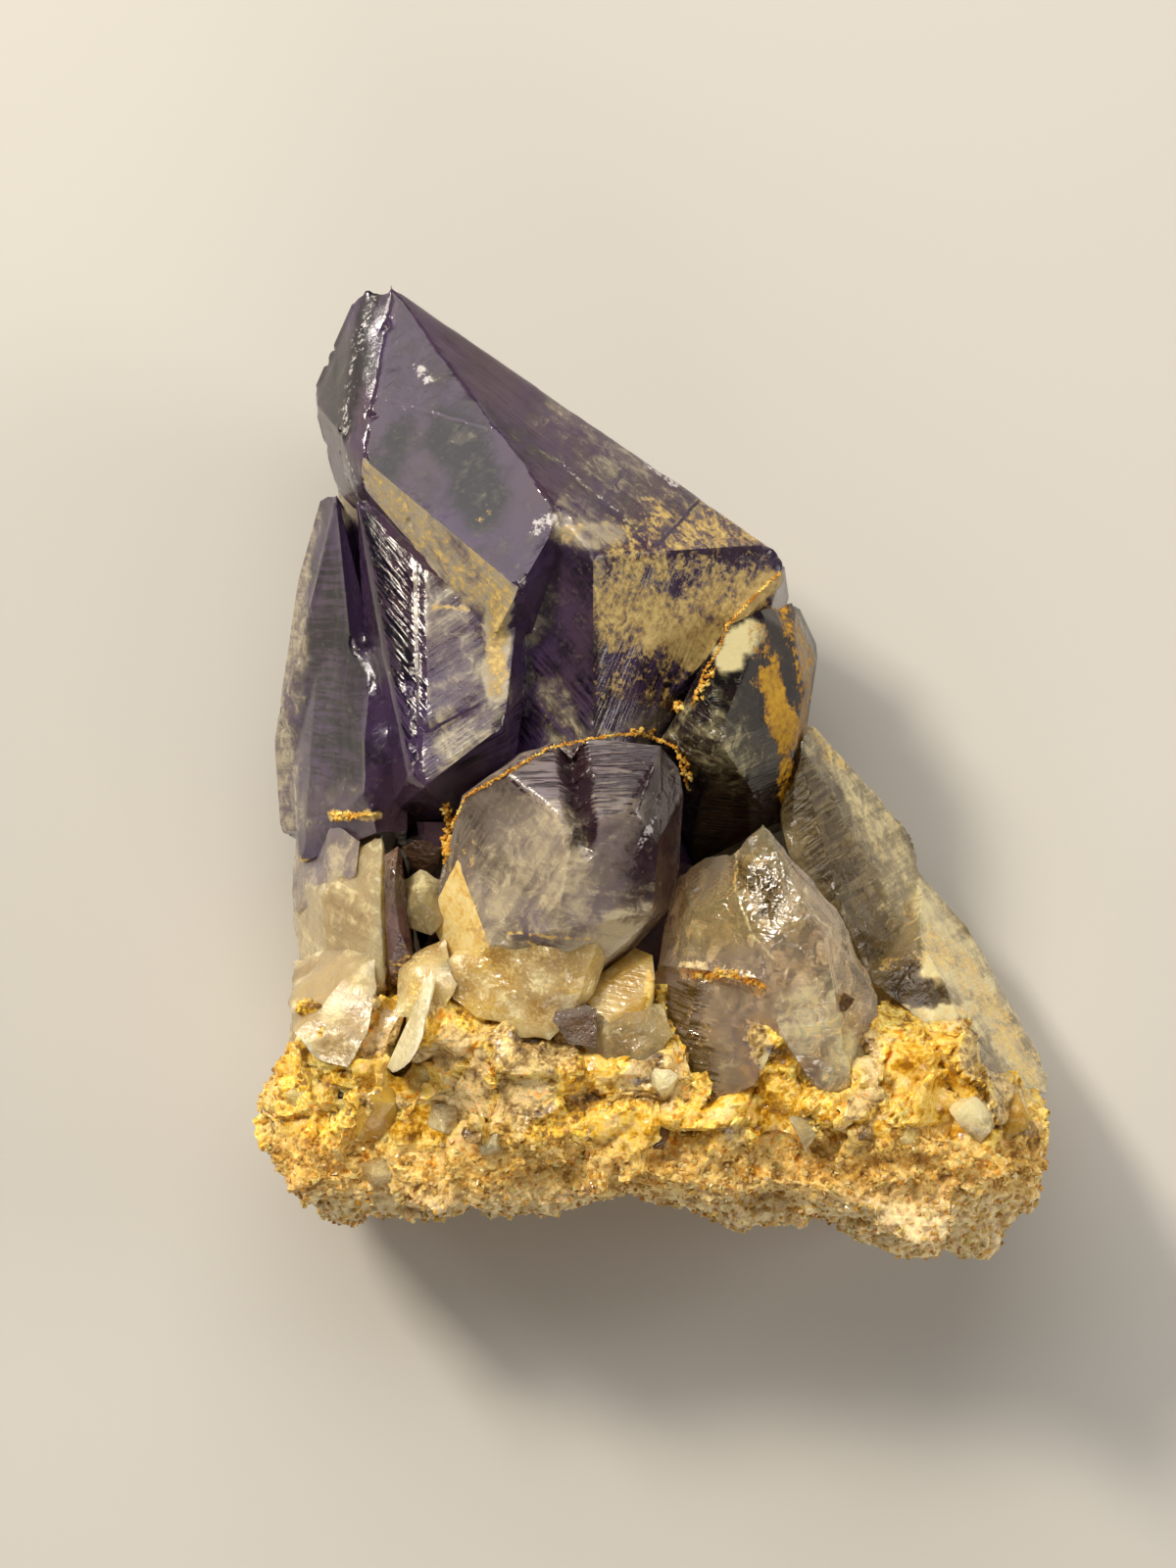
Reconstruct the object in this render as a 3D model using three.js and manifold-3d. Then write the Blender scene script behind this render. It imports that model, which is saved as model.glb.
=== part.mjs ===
// Amethyst cluster lying on its back: crystals grown together, leaning out of a bar of
// iron-stained rock. Millimetres, +Z up. +Y runs from the rock to the tip of the main crystal.

import * as THREE from 'three';
import { ConvexGeometry } from 'three/addons/geometries/ConvexGeometry.js';
import { ImprovedNoise } from 'three/addons/math/ImprovedNoise.js';
import { mergeVertices } from 'three/addons/utils/BufferGeometryUtils.js';
import Module from 'manifold-3d';

const wasm = await Module();
wasm.setup();

// Driving dimensions
const CONTACT_GAP = 0.3;        // clearance between neighbouring pieces
const FACE_SPREAD = 8;          // degrees: facets closer than this are one natural face
const BROAD_SPREAD = 15;        // the same on the crystals with few, broad faces
const SMALLEST_FACE = 0.6;      // mm2: smaller facets are left off a crystal
const FLOOR = 0;                // what the cluster rests on
const STEP_INSET = 0.15;        // how far a growth step stands back from the crystal's edges
const STATION_STEP = 2.9;       // between cross-sections of the rock
const RING_POINTS = 26;         // round each cross-section
const CHUNKS = 40;              // broken lumps on the rock's top
const FRONT_CHUNKS = 18;        // and on its undercut front
const SMALL_POINTS = 22;        // small quartz crystals on it
const ROCK_LUMP = 9;            // wavelength of the rock's lumps
const ROCK_LUMP_HEIGHT = 2.3;
const ROCK_GRAIN = 3.6;         // wavelength of its finer unevenness
const ROCK_GRAIN_HEIGHT = 0.8;

const V = (x, y, z) => new THREE.Vector3(x, y, z);

// ---------------------------------------------------------------- solids

// A closed mesh as a solid that can be joined and cut.
function solidOf(geometry) {
  const bare = geometry.clone();
  bare.deleteAttribute('normal');
  bare.deleteAttribute('uv');
  const merged = mergeVertices(bare, 1e-4);
  return new wasm.Manifold(new wasm.Mesh({
    numProp: 3,
    vertProperties: new Float32Array(merged.getAttribute('position').array),
    triVerts: new Uint32Array(merged.index.array),
  }));
}

function hullSolid(points) {
  return solidOf(new ConvexGeometry(points));
}

function join(solids) {
  return solids.reduce((whole, next) => whole.add(next));
}

// The largest piece of a solid, without the crumbs that a cut leaves.
function mainPiece(solid) {
  return solid.decompose().sort((a, b) => b.volume() - a.volume())[0];
}

// ---------------------------------------------------------------- crystals

// The flat natural faces of a crystal with these corners, as planes.
function facesOf(corners, degrees = FACE_SPREAD) {
  const hull = new ConvexGeometry(corners.map((c) => V(...c)));
  const position = hull.getAttribute('position');
  const triangle = new THREE.Triangle();
  const facets = [];
  for (let i = 0; i < position.count; i += 3) {
    triangle.setFromAttributeAndIndices(position, i, i + 1, i + 2);
    const normal = triangle.getNormal(V());
    const reach = normal.dot(triangle.getMidpoint(V()));
    facets.push({ area: triangle.getArea(), normal, reach });
  }
  facets.sort((a, b) => b.area - a.area);
  const spread = Math.cos(THREE.MathUtils.degToRad(degrees));
  const faces = [];
  for (const facet of facets) {
    let face = faces.find((f) => f.seed.dot(facet.normal) > spread);
    if (!face) {
      face = { seed: facet.normal, area: 0, sum: V(0, 0, 0), reach: 0 };
      faces.push(face);
    }
    face.area += facet.area;
    face.sum.addScaledVector(facet.normal, facet.area);
    face.reach += facet.reach * facet.area;
  }
  return faces
    .filter((f) => f.area > SMALLEST_FACE)
    .map((f) => new THREE.Plane(f.sum.clone().normalize(), -f.reach / f.area));
}

// Where three faces meet, or null if they are nearly parallel.
function meeting(a, b, c) {
  const bc = V().crossVectors(b.normal, c.normal);
  const det = a.normal.dot(bc);
  if (Math.abs(det) < 1e-3) return null;
  const ca = V().crossVectors(c.normal, a.normal);
  const ab = V().crossVectors(a.normal, b.normal);
  return bc.multiplyScalar(-a.constant)
    .addScaledVector(ca, -b.constant)
    .addScaledVector(ab, -c.constant)
    .divideScalar(det);
}

// The solid inside a crystal's faces, each face pushed out by `out`.
function crystalSolid(faces, out = 0) {
  const planes = faces.map((f) => new THREE.Plane(f.normal, f.constant - out));
  const corners = new Map();
  for (let i = 0; i < planes.length; i++) {
    for (let j = i + 1; j < planes.length; j++) {
      for (let k = j + 1; k < planes.length; k++) {
        const p = meeting(planes[i], planes[j], planes[k]);
        if (!p || planes.some((f) => f.distanceToPoint(p) > 1e-4)) continue;
        corners.set(p.toArray().map((n) => n.toFixed(2)).join(), p);
      }
    }
  }
  return hullSolid([...corners.values()]);
}

// A growth step: the face that looks towards `side` stands `rise` higher, on the near side
// of the line through `from` whose outward direction is `away`.
function growthStep(faces, side, rise, from, away) {
  const look = V(...side).normalize();
  const turned = (f) => f.normal.dot(look);
  const top = faces.reduce((a, b) => (turned(b) > turned(a) ? b : a));
  const raised = faces.map((f) => {
    return new THREE.Plane(f.normal, f.constant + (f === top ? -rise : STEP_INSET));
  });
  const edge = V(...away).normalize();
  return [...raised, new THREE.Plane(edge, -edge.dot(V(...from)))];
}

// A small chipped hollow, or a crumb, as a rough lump.
function lump([x, y, z], size, seed, stretch = [1, 1, 1]) {
  const random = seeded(seed);
  const points = [];
  for (let i = 0; i < 11; i++) {
    const p = V(random() - 0.5, random() - 0.5, random() - 0.5).normalize();
    p.multiplyScalar(size * (0.8 + 0.3 * random()));
    points.push(V(x + p.x * stretch[0], y + p.y * stretch[1], z + p.z * stretch[2]));
  }
  return hullSolid(points);
}

// A six-sided quartz point from its root, along `lean`.
function quartzPoint(root, lean, length, radius, turn) {
  const axis = V(...lean).normalize();
  const side = V().crossVectors(axis, Math.abs(axis.z) < 0.9 ? V(0, 0, 1) : V(1, 0, 0));
  side.normalize().applyAxisAngle(axis, turn);
  const base = V(...root);
  const tip = base.clone().addScaledVector(axis, length);
  const points = [tip, tip.clone().addScaledVector(side, radius * 0.25)];
  for (let i = 0; i < 6; i++) {
    const spoke = side.clone().applyAxisAngle(axis, (i * Math.PI) / 3);
    const shoulder = length - radius * (i % 2 ? 1.1 : 1.5);
    for (const along of [-radius, shoulder]) {
      points.push(base.clone().addScaledVector(axis, along).addScaledVector(spoke, radius));
    }
  }
  return hullSolid(points);
}

function seeded(seed) {
  let state = seed * 7919 + 17;
  return () => {
    state = (state * 1103515245 + 12345) % 2147483648;
    return state / 2147483648;
  };
}

// Corners of each crystal, by where they are on it.

// Main crystal: three individuals in parallel growth and two on its left flank
const upper = facesOf([
  [-26, 66.5, 34], [-31, 66, 30.5],                               // tip
  [-30, 43, 43.5], [-9, 25.5, 52], [-3.5, 35, 48],                // top face
  [-32.5, 46, 39], [-37, 53.5, 24], [-36.5, 49.5, 24], [-34, 40, 26],
  [-30, 39.5, 41], [-12.5, 19, 46.5], [-7, 20.5, 43], [-2, 31, 44],
  [-27, 51, 14], [-10.5, 32, 14], [-29.5, 35, 12],                // buried back
]);
const trunk = facesOf([
  [-26, 66.5, 33.5], [24, 32.5, 30], [26.5, 29.5, 27],            // tip and right shoulder
  [0.5, 30.5, 49], [0.5, 13, 47], [0, 1.5, 45],                   // ridge
  [19, 21, 33], [15, 15.5, 35.5], [-8, 13, 42],
  [20.5, 12, 16], [27.5, 25.5, 14], [18, -5.5, 16],               // right flank
  [-34, 39.5, 24], [-33, 21.5, 20], [-31.5, -5.5, 20],            // left flank
  [-22, 36.5, -1], [-5.5, 38, -1], [13.5, 24.5, -1],              // back, on the ground
  [15.5, -8, -1], [-27, -8, -1], [-28, 22, -1],
]);
const root = facesOf([
  [-27, -5, 20], [15, -5, 18], [-22, -5, 40], [8, -5, 40],
  [-23, -30, 6], [13.5, -30, 6], [-21, -28, 36], [12, -28, 34], [-22, -5, 4], [12, -5, 4],
]);
const middle = facesOf([
  [-23.5, 30.5, 43], [-12.5, 19, 46.5], [-11, 7.5, 48.5],         // top face
  [-21.5, -0.5, 49], [-23.5, 1, 48.5],
  [-9, 25, 45], [-8.5, 11, 43.5], [-9.5, 3, 43], [-17, -4.5, 42],
  [-31, 38.5, 38], [-29, 25, 33], [-28.5, 18, 32], [-28, -5.5, 30], // dark left face
  [-27, 32, 15], [-10.5, 21.5, 15], [-8, 0, 15], [-27, -5.5, 15],
]);
const leftUpper = facesOf([
  [-33.5, 39, 36], [-36, 38, 30], [-38.5, 30, 24], [-40.5, 19.5, 20], // outer edge
  [-42.5, 7.5, 16], [-42, 0, 14], [-42, -6.5, 14],
  [-28.5, 18, 32], [-29, -6.5, 34], [-33.5, 21, 33],
  [-34.5, 35.5, 3], [-27, 24.5, 3], [-40.5, 5.5, 3], [-39.5, -8, 4], [-27, -8, 4],
]);
const leftLower = facesOf([
  [-35, 18.5, 30], [-32.5, 20.5, 33], [-30.5, 18, 36], [-27.5, 16, 38], [-24, 13, 39],
  [-29, 13, 40], [-29, -2, 42], [-24, 1.5, 38], [-24, -6, 38],    // ridge
  [-28, -6.5, 41], [-34, -4, 33], [-39, -10.5, 24], [-40.5, 1.5, 18], [-38.5, 13.5, 22],
  [-35, 11, 6], [-25.5, 11, 6], [-38, -9.5, 6], [-25.5, -11, 6],
]);

// Right crystal, grown across the main one's flank
const right = facesOf([
  [17, 6, 50], [13, 12, 45], [11, 7, 44], [9.5, 5.5, 42],         // crest
  [15.5, 15.5, 46.5], [18.5, 21, 43.5], [23, 23, 40.5], [28, 24.5, 30],
  [27.5, 19.5, 36], [27.5, 7.5, 36], [25, -5.5, 30],              // brown rim
  [30.5, 20, 22], [30, 13.5, 19], [30, 8.5, 17], [26, -6.5, 17],
  [12.5, 0, 35], [12.5, -12, 20], [21, -6.5, 25],
  [16.5, 15, 4], [27, 16.5, 4], [25.5, -5.5, 4], [13.5, -13.5, 4],
], BROAD_SPREAD);

// Front crystal: the one nearest the eye, rising from the foot of the main one
const front = facesOf([
  [-16.5, -1.5, 52], [-17, -8, 50.4], [-16, -13.5, 49.8], [-12.5, -21, 50.3], // broad left face
  [-11.8, 1.9, 55.9], [-2.2, -6.6, 60], [-3.3, -14, 57.6], [-4, -19, 56],
  [-8.6, 4.3, 54.4], [-4.5, 6, 53.7], [4.5, 5.5, 53.7], [9.5, 5, 53.6], [6.5, -4, 58.4], // far face
  [9.2, -8.1, 55], [7.8, -17.4, 52], [2.8, -18.1, 53.7],          // purple facet
  [12, 2, 48], [12.5, -1.5, 45.5], [12, -6.5, 43], [12, -11.5, 42], [10.5, -17, 43],
  [5.5, -21.5, 46], [1, -24, 48], [-2, -27, 47], [-11.5, -22.5, 48.5],
  [-19, -10, 45], [-19.5, -14, 43], [-21, -18, 42], [-17, -26, 43], // yellow lower left
  [-14.5, 0, 30], [10.5, 1.5, 30], [10, -13, 25], [-16, -21, 25], [-2.5, -31.5, 28],
]);

// Lilac pair at the lower right
const lilacLeftTop = facesOf([
  [12, -12, 42], [15.5, -9.5, 44], [19.5, -9, 47], [19.5, -14.5, 54],
  [22.5, -22.5, 57], [23, -26, 57], [14.5, -24, 53], [9.5, -24, 46], [10, -18, 43], [13, -16.5, 49],
  [12, -13, 25], [24, -13, 25], [24, -27, 25], [10.5, -27, 25],
], BROAD_SPREAD);
const lilacLeftFoot = facesOf([
  [9.5, -24, 44], [14.5, -25, 51], [23, -26.5, 55], [25.5, -31.5, 55],
  [22, -39.5, 52], [15.5, -42.5, 48], [11, -41.5, 46], [8.5, -33.5, 43],
  [10.5, -24, 25], [25.5, -26, 25], [25.5, -41, 25], [11, -41.5, 25],
], BROAD_SPREAD);
const lilacRight = facesOf([
  [23, -5, 50], [20, -8, 50], [19, -14.5, 54], [21.5, -21.5, 57],
  [23.5, -21, 57.5], [28.5, -16.5, 58], [31.5, -19, 55], [26.5, -10, 50], // shoulder
  [34, -18.5, 46], [35, -22.5, 45], [38.5, -28, 42], [38.5, -31.5, 42],
  [36.5, -39.5, 46], [31, -41.5, 51], [25.5, -33.5, 55], [25.5, -27.5, 57],
  [22.5, -9.5, 25], [34.5, -21, 25], [37, -39.5, 25], [25, -41, 25],
], BROAD_SPREAD);

// Pale smoky crystals down the right side
const smokyTop = facesOf([
  [30, 8.5, 26], [32.5, 6, 23], [36, 2, 20], [38, -2.5, 16], [40.5, -5, 13], // outer edge
  [44.5, -7, 11], [45.5, -9, 11], [45, -12, 15], [45, -23, 24],
  [37, -25, 31], [34.5, -19, 34], [27, -10.5, 34], [25.5, -4, 32], [28, 5, 32],
  [30, 2.5, 2], [40.5, -8, 2], [43.5, -23, 2], [30, -23, 2],
]);
const smokyMiddle = facesOf([
  [45.5, -12, 14], [47, -14, 12], [50.5, -18.5, 10], [54.5, -23, 10], [56.5, -29, 12],
  [59, -31.5, 14], [62, -37, 16], [62.5, -39.5, 18], [62, -42, 22], // outer edge
  [53.5, -39.5, 38], [47, -34, 38], [40, -27.5, 34], [37, -25, 31], [44, -21, 30],
  [46, -19, 2], [59.5, -36.5, 2], [59.5, -43.5, 2], [40.5, -35.5, 2],
]);

// Milky shards down the left side
const milkyOuter = facesOf([
  [-31.5, -10.5, 36], [-35.5, -14, 33], [-40, -13.5, 20], [-40.5, -16.5, 15],
  [-39.5, -22, 15], [-39, -27, 18], [-38.5, -29.5, 22], [-35, -34, 32], // outer edge
  [-29.5, -32, 40], [-28, -27.5, 41], [-28, -21, 42], [-29.5, -13, 40],
  [-38, -17.5, 4], [-30, -16.5, 4], [-29.5, -35, 6], [-37, -34, 6],
]);
const milkyInner = facesOf([
  [-28, -4.5, 40], [-27, -6.5, 41.5], [-27.5, -14.5, 44], [-27, -24, 43.5],
  [-26.5, -27, 42], [-29.5, -30.5, 39], [-31, -21, 38], [-31.5, -11.5, 37], [-30.5, -6.5, 36],
  [-30.5, -8, 20], [-27.5, -10.5, 20], [-27.5, -29.5, 20], [-30.5, -30.5, 20],
]);
const milkyFoot = facesOf([
  [-38.5, -29.5, 22], [-40.5, -32.5, 18], [-41, -35.5, 16], [-41.5, -39.5, 18],
  [-39.5, -43, 26], [-33, -41.5, 42], [-31, -35, 42], [-34.5, -31, 35],
  [-39.5, -34, 4], [-32.5, -35, 4], [-34, -43.5, 4], [-40.5, -42, 4],
]);

// Small crystals between the large ones
const splinter = facesOf([
  [-27.5, -9, 43], [-25, -7.5, 45], [-25.5, -13.5, 46.5], [-25, -19, 46],
  [-23, -24, 43], [-24.5, -26.5, 41], [-26.5, -27, 41], [-27, -20.5, 43],
  [-27, -10.5, 26], [-24, -13, 26], [-23, -25, 26], [-27, -26.5, 26],
]);
const brownChip = facesOf([
  [-25, -8, 44], [-22, -7, 46], [-19, -8.5, 45], [-19.5, -11, 42], [-20.5, -13, 40],
  [-23, -12, 40], [-25, -9, 26], [-20, -9, 26], [-21, -13, 26],
]);
const wedge = facesOf([
  [6, -21.5, 44], [8.5, -22.5, 47], [9, -27, 49], [7.5, -32.5, 50], [2.5, -31, 50],
  [-0.5, -28.5, 48], [-2, -27.5, 44], [1.5, -24.5, 45],
  [0, -26.5, 25], [8.5, -25, 25], [8, -33, 25], [0, -31.5, 25],
]);
const blade = facesOf([
  [-20.5, -24, 50], [-19, -25, 50], [-21.5, -33.5, 54], [-24, -37.5, 53],
  [-26, -38.5, 50], [-26.5, -37.5, 48], [-23, -31, 49],
  [-21, -26, 38], [-25, -38, 38], [-26, -36.5, 38],
]);

// The crystals in the order they grew: each is cut back where it meets an earlier one.
const CRYSTALS = [
  {
    name: 'main_crystal',
    bodies: [trunk, root, upper, middle, leftUpper, leftLower,
      growthStep(upper, [0.05, 0.4, 1], 0.35, [-30, 52, 42], [-0.3, -1, 0]),
      growthStep(trunk, [0.6, 0.8, 1], 0.5, [8, 30, 40], [0.75, -0.65, 0]),
      growthStep(leftLower, [-0.6, 0, 1], 0.6, [-34, 12, 30], [0.15, 1, 0]),
      growthStep(middle, [-0.1, 0.2, 1], 0.4, [-17, 9, 48], [0.5, -1, 0])],
    chips: [
      [-3.5, 34.5, 48, 1.7], [-23.4, 13, 46, 1.1], [-23.6, 9.5, 46.7, 0.9], [-23.2, 5, 47.5, 1.3],
      [-23.6, 2, 48, 1], [9, 41, 29, 2.2], [12, 39, 29.5, 1.5], [-28, 66.5, 33.5, 1.6],
      [-31, 62, 33.5, 1.2], [-31.3, 57, 36, 1.5], [-31.6, 52, 38, 1.1], [-32, 48, 39.5, 1.6],
      [-37, 51.5, 24, 1.3], [-34, 43, 33, 1.5],
    ],
    color: 0x55436b,
    roughness: 0.14,
  },
  { name: 'right_crystal', bodies: [right], chips: [[26, 23, 35, 1.6], [17, 6.5, 50, 1.2]],
    color: 0x3c2f3c, roughness: 0.16 },
  { name: 'front_crystal',
    bodies: [front,
      growthStep(front, [0.3, 1, 1.6], 0.35, [3, 2, 56], [0.1, 1, 0]),
      growthStep(front, [0.3, 1, 1.6], 0.7, [3, -1.5, 57], [0.1, 1, 0])],
    chips: [[-13, -18, 51.5, 1.2], [9, -18, 46, 1.4]],
    color: 0x84738a, roughness: 0.12 },
  { name: 'lilac_crystals',
    bodies: [lilacRight, lilacLeftTop, lilacLeftFoot,
      growthStep(lilacRight, [0.7, 0.5, 1], 1, [27, -17, 58], [-0.6, 0.8, 0])],
    chips: [[19.5, -13, 53, 1.1], [22.7, -24.5, 57, 1.3], [30.5, -40, 51, 1.4]],
    color: 0xa896a6, roughness: 0.1 },
  { name: 'smoky_crystals', bodies: [smokyTop, smokyMiddle],
    chips: [[45, -8, 11, 1.4], [39, -3, 15, 1.3], [55, -24.5, 11, 1.5], [62, -38, 17, 1.4]],
    color: 0xa3a58f, roughness: 0.18 },
  { name: 'milky_crystals', bodies: [milkyOuter, milkyInner, milkyFoot],
    chips: [[-39.5, -22, 17, 1.2], [-41, -38, 18, 1.2]],
    color: 0xc6bda3, roughness: 0.2 },
  { name: 'dark_splinter', bodies: [splinter], chips: [], color: 0x35222e, roughness: 0.12 },
  { name: 'brown_chip', bodies: [brownChip], chips: [], color: 0x6a4c38, roughness: 0.18 },
  { name: 'wedge_crystal', bodies: [wedge], chips: [[8.5, -30, 50, 1]], color: 0xb99c58,
    roughness: 0.2 },
  { name: 'clear_blade', bodies: [blade], chips: [], color: 0xcdc6b2, roughness: 0.1 },
];

// ---------------------------------------------------------------- rock

// Outline of the rock bar along X: its front rim, hidden back, top and underside.
const RIM = [[-45, -45], [-42.5, -50], [-40.5, -55], [-35, -58.2], [-12, -58.2], [6, -56.6],
  [17, -59.5], [30, -58.5], [36, -61.5], [47, -63.5], [54, -63.5], [58.5, -57], [62, -50]];
const BACK = [[-45, -42.5], [-41, -37], [-36, -28], [-20, -24], [30, -26], [50, -34], [62, -43]];
const TOP = [[-45, 30], [-41, 38], [-34, 44], [-12, 50], [5, 51], [25, 50], [40, 50], [53, 45],
  [62, 34]];
const UNDERSIDE = [[-45, 22], [-41, 8], [-36, -1], [54, -1], [58, 6], [62, 18]];

function along(line, x) {
  for (let i = 1; i < line.length; i++) {
    const [x0, v0] = line[i - 1];
    const [x1, v1] = line[i];
    if (x <= x1) return THREE.MathUtils.mapLinear(Math.max(x, x0), x0, x1, v0, v1);
  }
  return line[line.length - 1][1];
}

// One cross-section: flat underside, undercut front, two broken layers at the rim, rough top.
function crossSection(x) {
  const front = along(RIM, x);
  const back = along(BACK, x);
  const top = along(TOP, x);
  const foot = along(UNDERSIDE, x);
  const tall = top - foot;
  const deep = back - front;
  const corners = [
    [back - 0.05 * deep, foot],
    [back, foot + 0.5 * tall],
    [back - 0.02 * deep, top - 6],
    [back - 0.4 * deep, top],
    [front + 0.22 * deep, top - 0.05 * tall],
    [front + 0.08 * deep, top - 0.12 * tall],
    [front + 0.09 * deep, top - 0.17 * tall],
    [front, top - 0.22 * tall],
    [front + 0.02 * deep, top - 0.34 * tall],
    [front + 0.14 * deep, foot + 0.45 * tall],
    [front + 0.25 * deep, foot + 0.12 * tall],
    [front + 0.3 * deep, foot],
  ];
  return new THREE.CatmullRomCurve3(corners.map(([y, z]) => V(x, y, z)), true, 'catmullrom', 0.15);
}

const noise = new ImprovedNoise();

function unevenness(p) {
  const lumps = noise.noise(p.x / ROCK_LUMP, p.y / ROCK_LUMP, p.z / ROCK_LUMP + 3.1);
  const grain = noise.noise(p.x / ROCK_GRAIN + 7.7, p.y / ROCK_GRAIN, p.z / ROCK_GRAIN);
  return (lumps - Math.abs(lumps) * 0.6) * 2 * ROCK_LUMP_HEIGHT + grain * ROCK_GRAIN_HEIGHT;
}

function rockBar() {
  const first = RIM[0][0];
  const last = RIM[RIM.length - 1][0];
  const stations = Math.round((last - first) / STATION_STEP);
  const position = [];
  for (let i = 0; i <= stations; i++) {
    const x = THREE.MathUtils.lerp(first, last, i / stations);
    const ring = crossSection(x).getSpacedPoints(RING_POINTS).slice(0, RING_POINTS);
    const centre = ring.reduce((sum, p) => sum.add(p), V(0, 0, 0)).divideScalar(RING_POINTS);
    for (const p of ring) {
      const outward = p.clone().sub(centre).setX(0).normalize();
      if (p.z > 1) p.addScaledVector(outward, unevenness(p));
      position.push(p);
    }
    if (i === 0 || i === stations) position.push(centre.setX(x + (i ? 0.6 : -0.6)));
  }
  const index = [];
  const at = (i, k) => i * RING_POINTS + (i ? 1 : 0) + (k % RING_POINTS);
  for (let k = 0; k < RING_POINTS; k++) {
    index.push(RING_POINTS, at(0, k + 1), at(0, k));
    index.push(position.length - 1, at(stations, k), at(stations, k + 1));
    for (let i = 0; i < stations; i++) {
      index.push(at(i, k), at(i, k + 1), at(i + 1, k));
      index.push(at(i, k + 1), at(i + 1, k + 1), at(i + 1, k));
    }
  }
  const geometry = new THREE.BufferGeometry().setFromPoints(position);
  geometry.setIndex(index);
  return solidOf(geometry);
}

// Broken chunks on the rock's top and front, and the ochre lump at its right.
function rockChunks() {
  const random = seeded(5);
  const chunks = [lump([42, -41, 42], 6.5, 3, [0.8, 1.5, 1]), lump([41.5, -50, 44], 5, 4),
    lump([-40, -47, 34], 5, 6, [0.9, 1.2, 0.8]), lump([-36, -52, 38], 5.5, 7, [1.2, 0.9, 0.8])];
  for (let i = 0; i < CHUNKS; i++) {
    const x = THREE.MathUtils.lerp(-40, 56, (i + random()) / CHUNKS);
    const inward = 3 + random() * 25;
    const y = along(RIM, x) + inward;
    const z = along(TOP, x) - 2 - Math.max(0, 6 - inward) - 2.5 * random();
    const stretch = [1 + random() * 0.8, 0.9 + random() * 0.5, 0.5 + random() * 0.5];
    chunks.push(lump([x, y, z], 2.8 + 2.6 * random(), 10 + i, stretch));
  }
  for (let i = 0; i < FRONT_CHUNKS; i++) {
    const x = THREE.MathUtils.lerp(-34, 52, (i + random()) / FRONT_CHUNKS);
    const level = 5 + 26 * random();
    const section = crossSection(x).getSpacedPoints(60).filter((p) => p.y < -40);
    const nearest = section.sort((a, b) => Math.abs(a.z - level) - Math.abs(b.z - level))[0];
    const size = 4 + 2.5 * random();
    chunks.push(lump([x, nearest.y + 1.6, nearest.z], size, 80 + i, [1.3, 0.7, 0.8]));
  }
  return chunks;
}

// Small quartz points that grew from the rock round the feet of the large crystals.
function smallPoints() {
  const random = seeded(11);
  const points = [
    quartzPoint([-36, -38, 38], [-0.5, 0.5, 0.8], 6, 2.4, 0.2),
    quartzPoint([-20, -16, 38], [0.2, 0.5, 1], 7, 2.6, 0.5),
    quartzPoint([-24, -21, 38], [-0.3, 0.3, 1], 6.5, 2.3, 0.1),
    quartzPoint([-27, -30, 40], [-0.3, 0.4, 1], 5.5, 2.4, 0.8),
    quartzPoint([49, -43, 40], [0.4, 0.5, 0.8], 7, 2.6, 0.3),
    quartzPoint([51, -47, 40], [0.6, 0.2, 0.8], 6, 2.5, 0.6),
    quartzPoint([-13, -46, 45], [-0.3, 0.3, 1], 7, 2.4, 0.4),
    quartzPoint([28, -47, 46], [0.3, 0.5, 1], 7, 2.2, 0.4),
  ];
  for (let i = 0; i < SMALL_POINTS; i++) {
    const x = THREE.MathUtils.lerp(-33, 50, (i + random()) / SMALL_POINTS);
    const y = THREE.MathUtils.lerp(along(BACK, x) - 8, along(RIM, x) + 8, random());
    const lean = [random() - 0.5, 0.6 * random(), 0.9];
    points.push(quartzPoint([x, y, along(TOP, x) - 3], lean, 4 + 2.5 * random(),
      1.3 + 0.9 * random(), random()));
  }
  return points;
}

// ---------------------------------------------------------------- assembly

const ground = solidOf(new THREE.BoxGeometry(300, 300, 60).translate(0, 0, FLOOR - 30));
const pieces = [];
const grown = [];

for (const crystal of CRYSTALS) {
  let solid = join(crystal.bodies.map((faces) => crystalSolid(faces)));
  crystal.chips.forEach(([x, y, z, size], i) => {
    solid = solid.subtract(lump([x, y, z], size, i + 1));
  });
  if (grown.length) solid = solid.subtract(join(grown));
  pieces.push({ ...crystal, solid: mainPiece(solid.subtract(ground)) });
  grown.push(...crystal.bodies.map((faces) => crystalSolid(faces, CONTACT_GAP)));
}

const rock = join([rockBar(), ...rockChunks(), ...smallPoints()]);
pieces.push({
  name: 'rock_matrix',
  solid: mainPiece(rock.subtract(join(grown)).subtract(ground)),
  color: 0xbf9a52,
  roughness: 0.85,
});

function meshOf({ name, solid, color, roughness }) {
  const { vertProperties, triVerts } = solid.getMesh();
  const indexed = new THREE.BufferGeometry();
  indexed.setAttribute('position', new THREE.BufferAttribute(vertProperties, 3));
  indexed.setIndex(new THREE.BufferAttribute(triVerts, 1));
  const geometry = indexed.toNonIndexed();
  geometry.computeVertexNormals();
  const material = new THREE.MeshStandardMaterial({ color, roughness, metalness: 0 });
  const mesh = new THREE.Mesh(geometry, material);
  mesh.name = name;
  return mesh;
}

const cluster = new THREE.Group();
cluster.name = 'amethyst_cluster';
for (const piece of pieces) cluster.add(meshOf(piece));

// The origin is under the middle of the whole footprint, at the level it rests on.
const extent = new THREE.Box3().setFromObject(cluster);
const middlePoint = extent.getCenter(V());
cluster.position.set(-middlePoint.x, -middlePoint.y, -extent.min.z);

export default cluster;
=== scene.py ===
import math

import bmesh
import bpy
import numpy as np
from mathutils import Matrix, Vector
from mathutils.bvhtree import BVHTree
from mathutils.geometry import delaunay_2d_cdt


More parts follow.
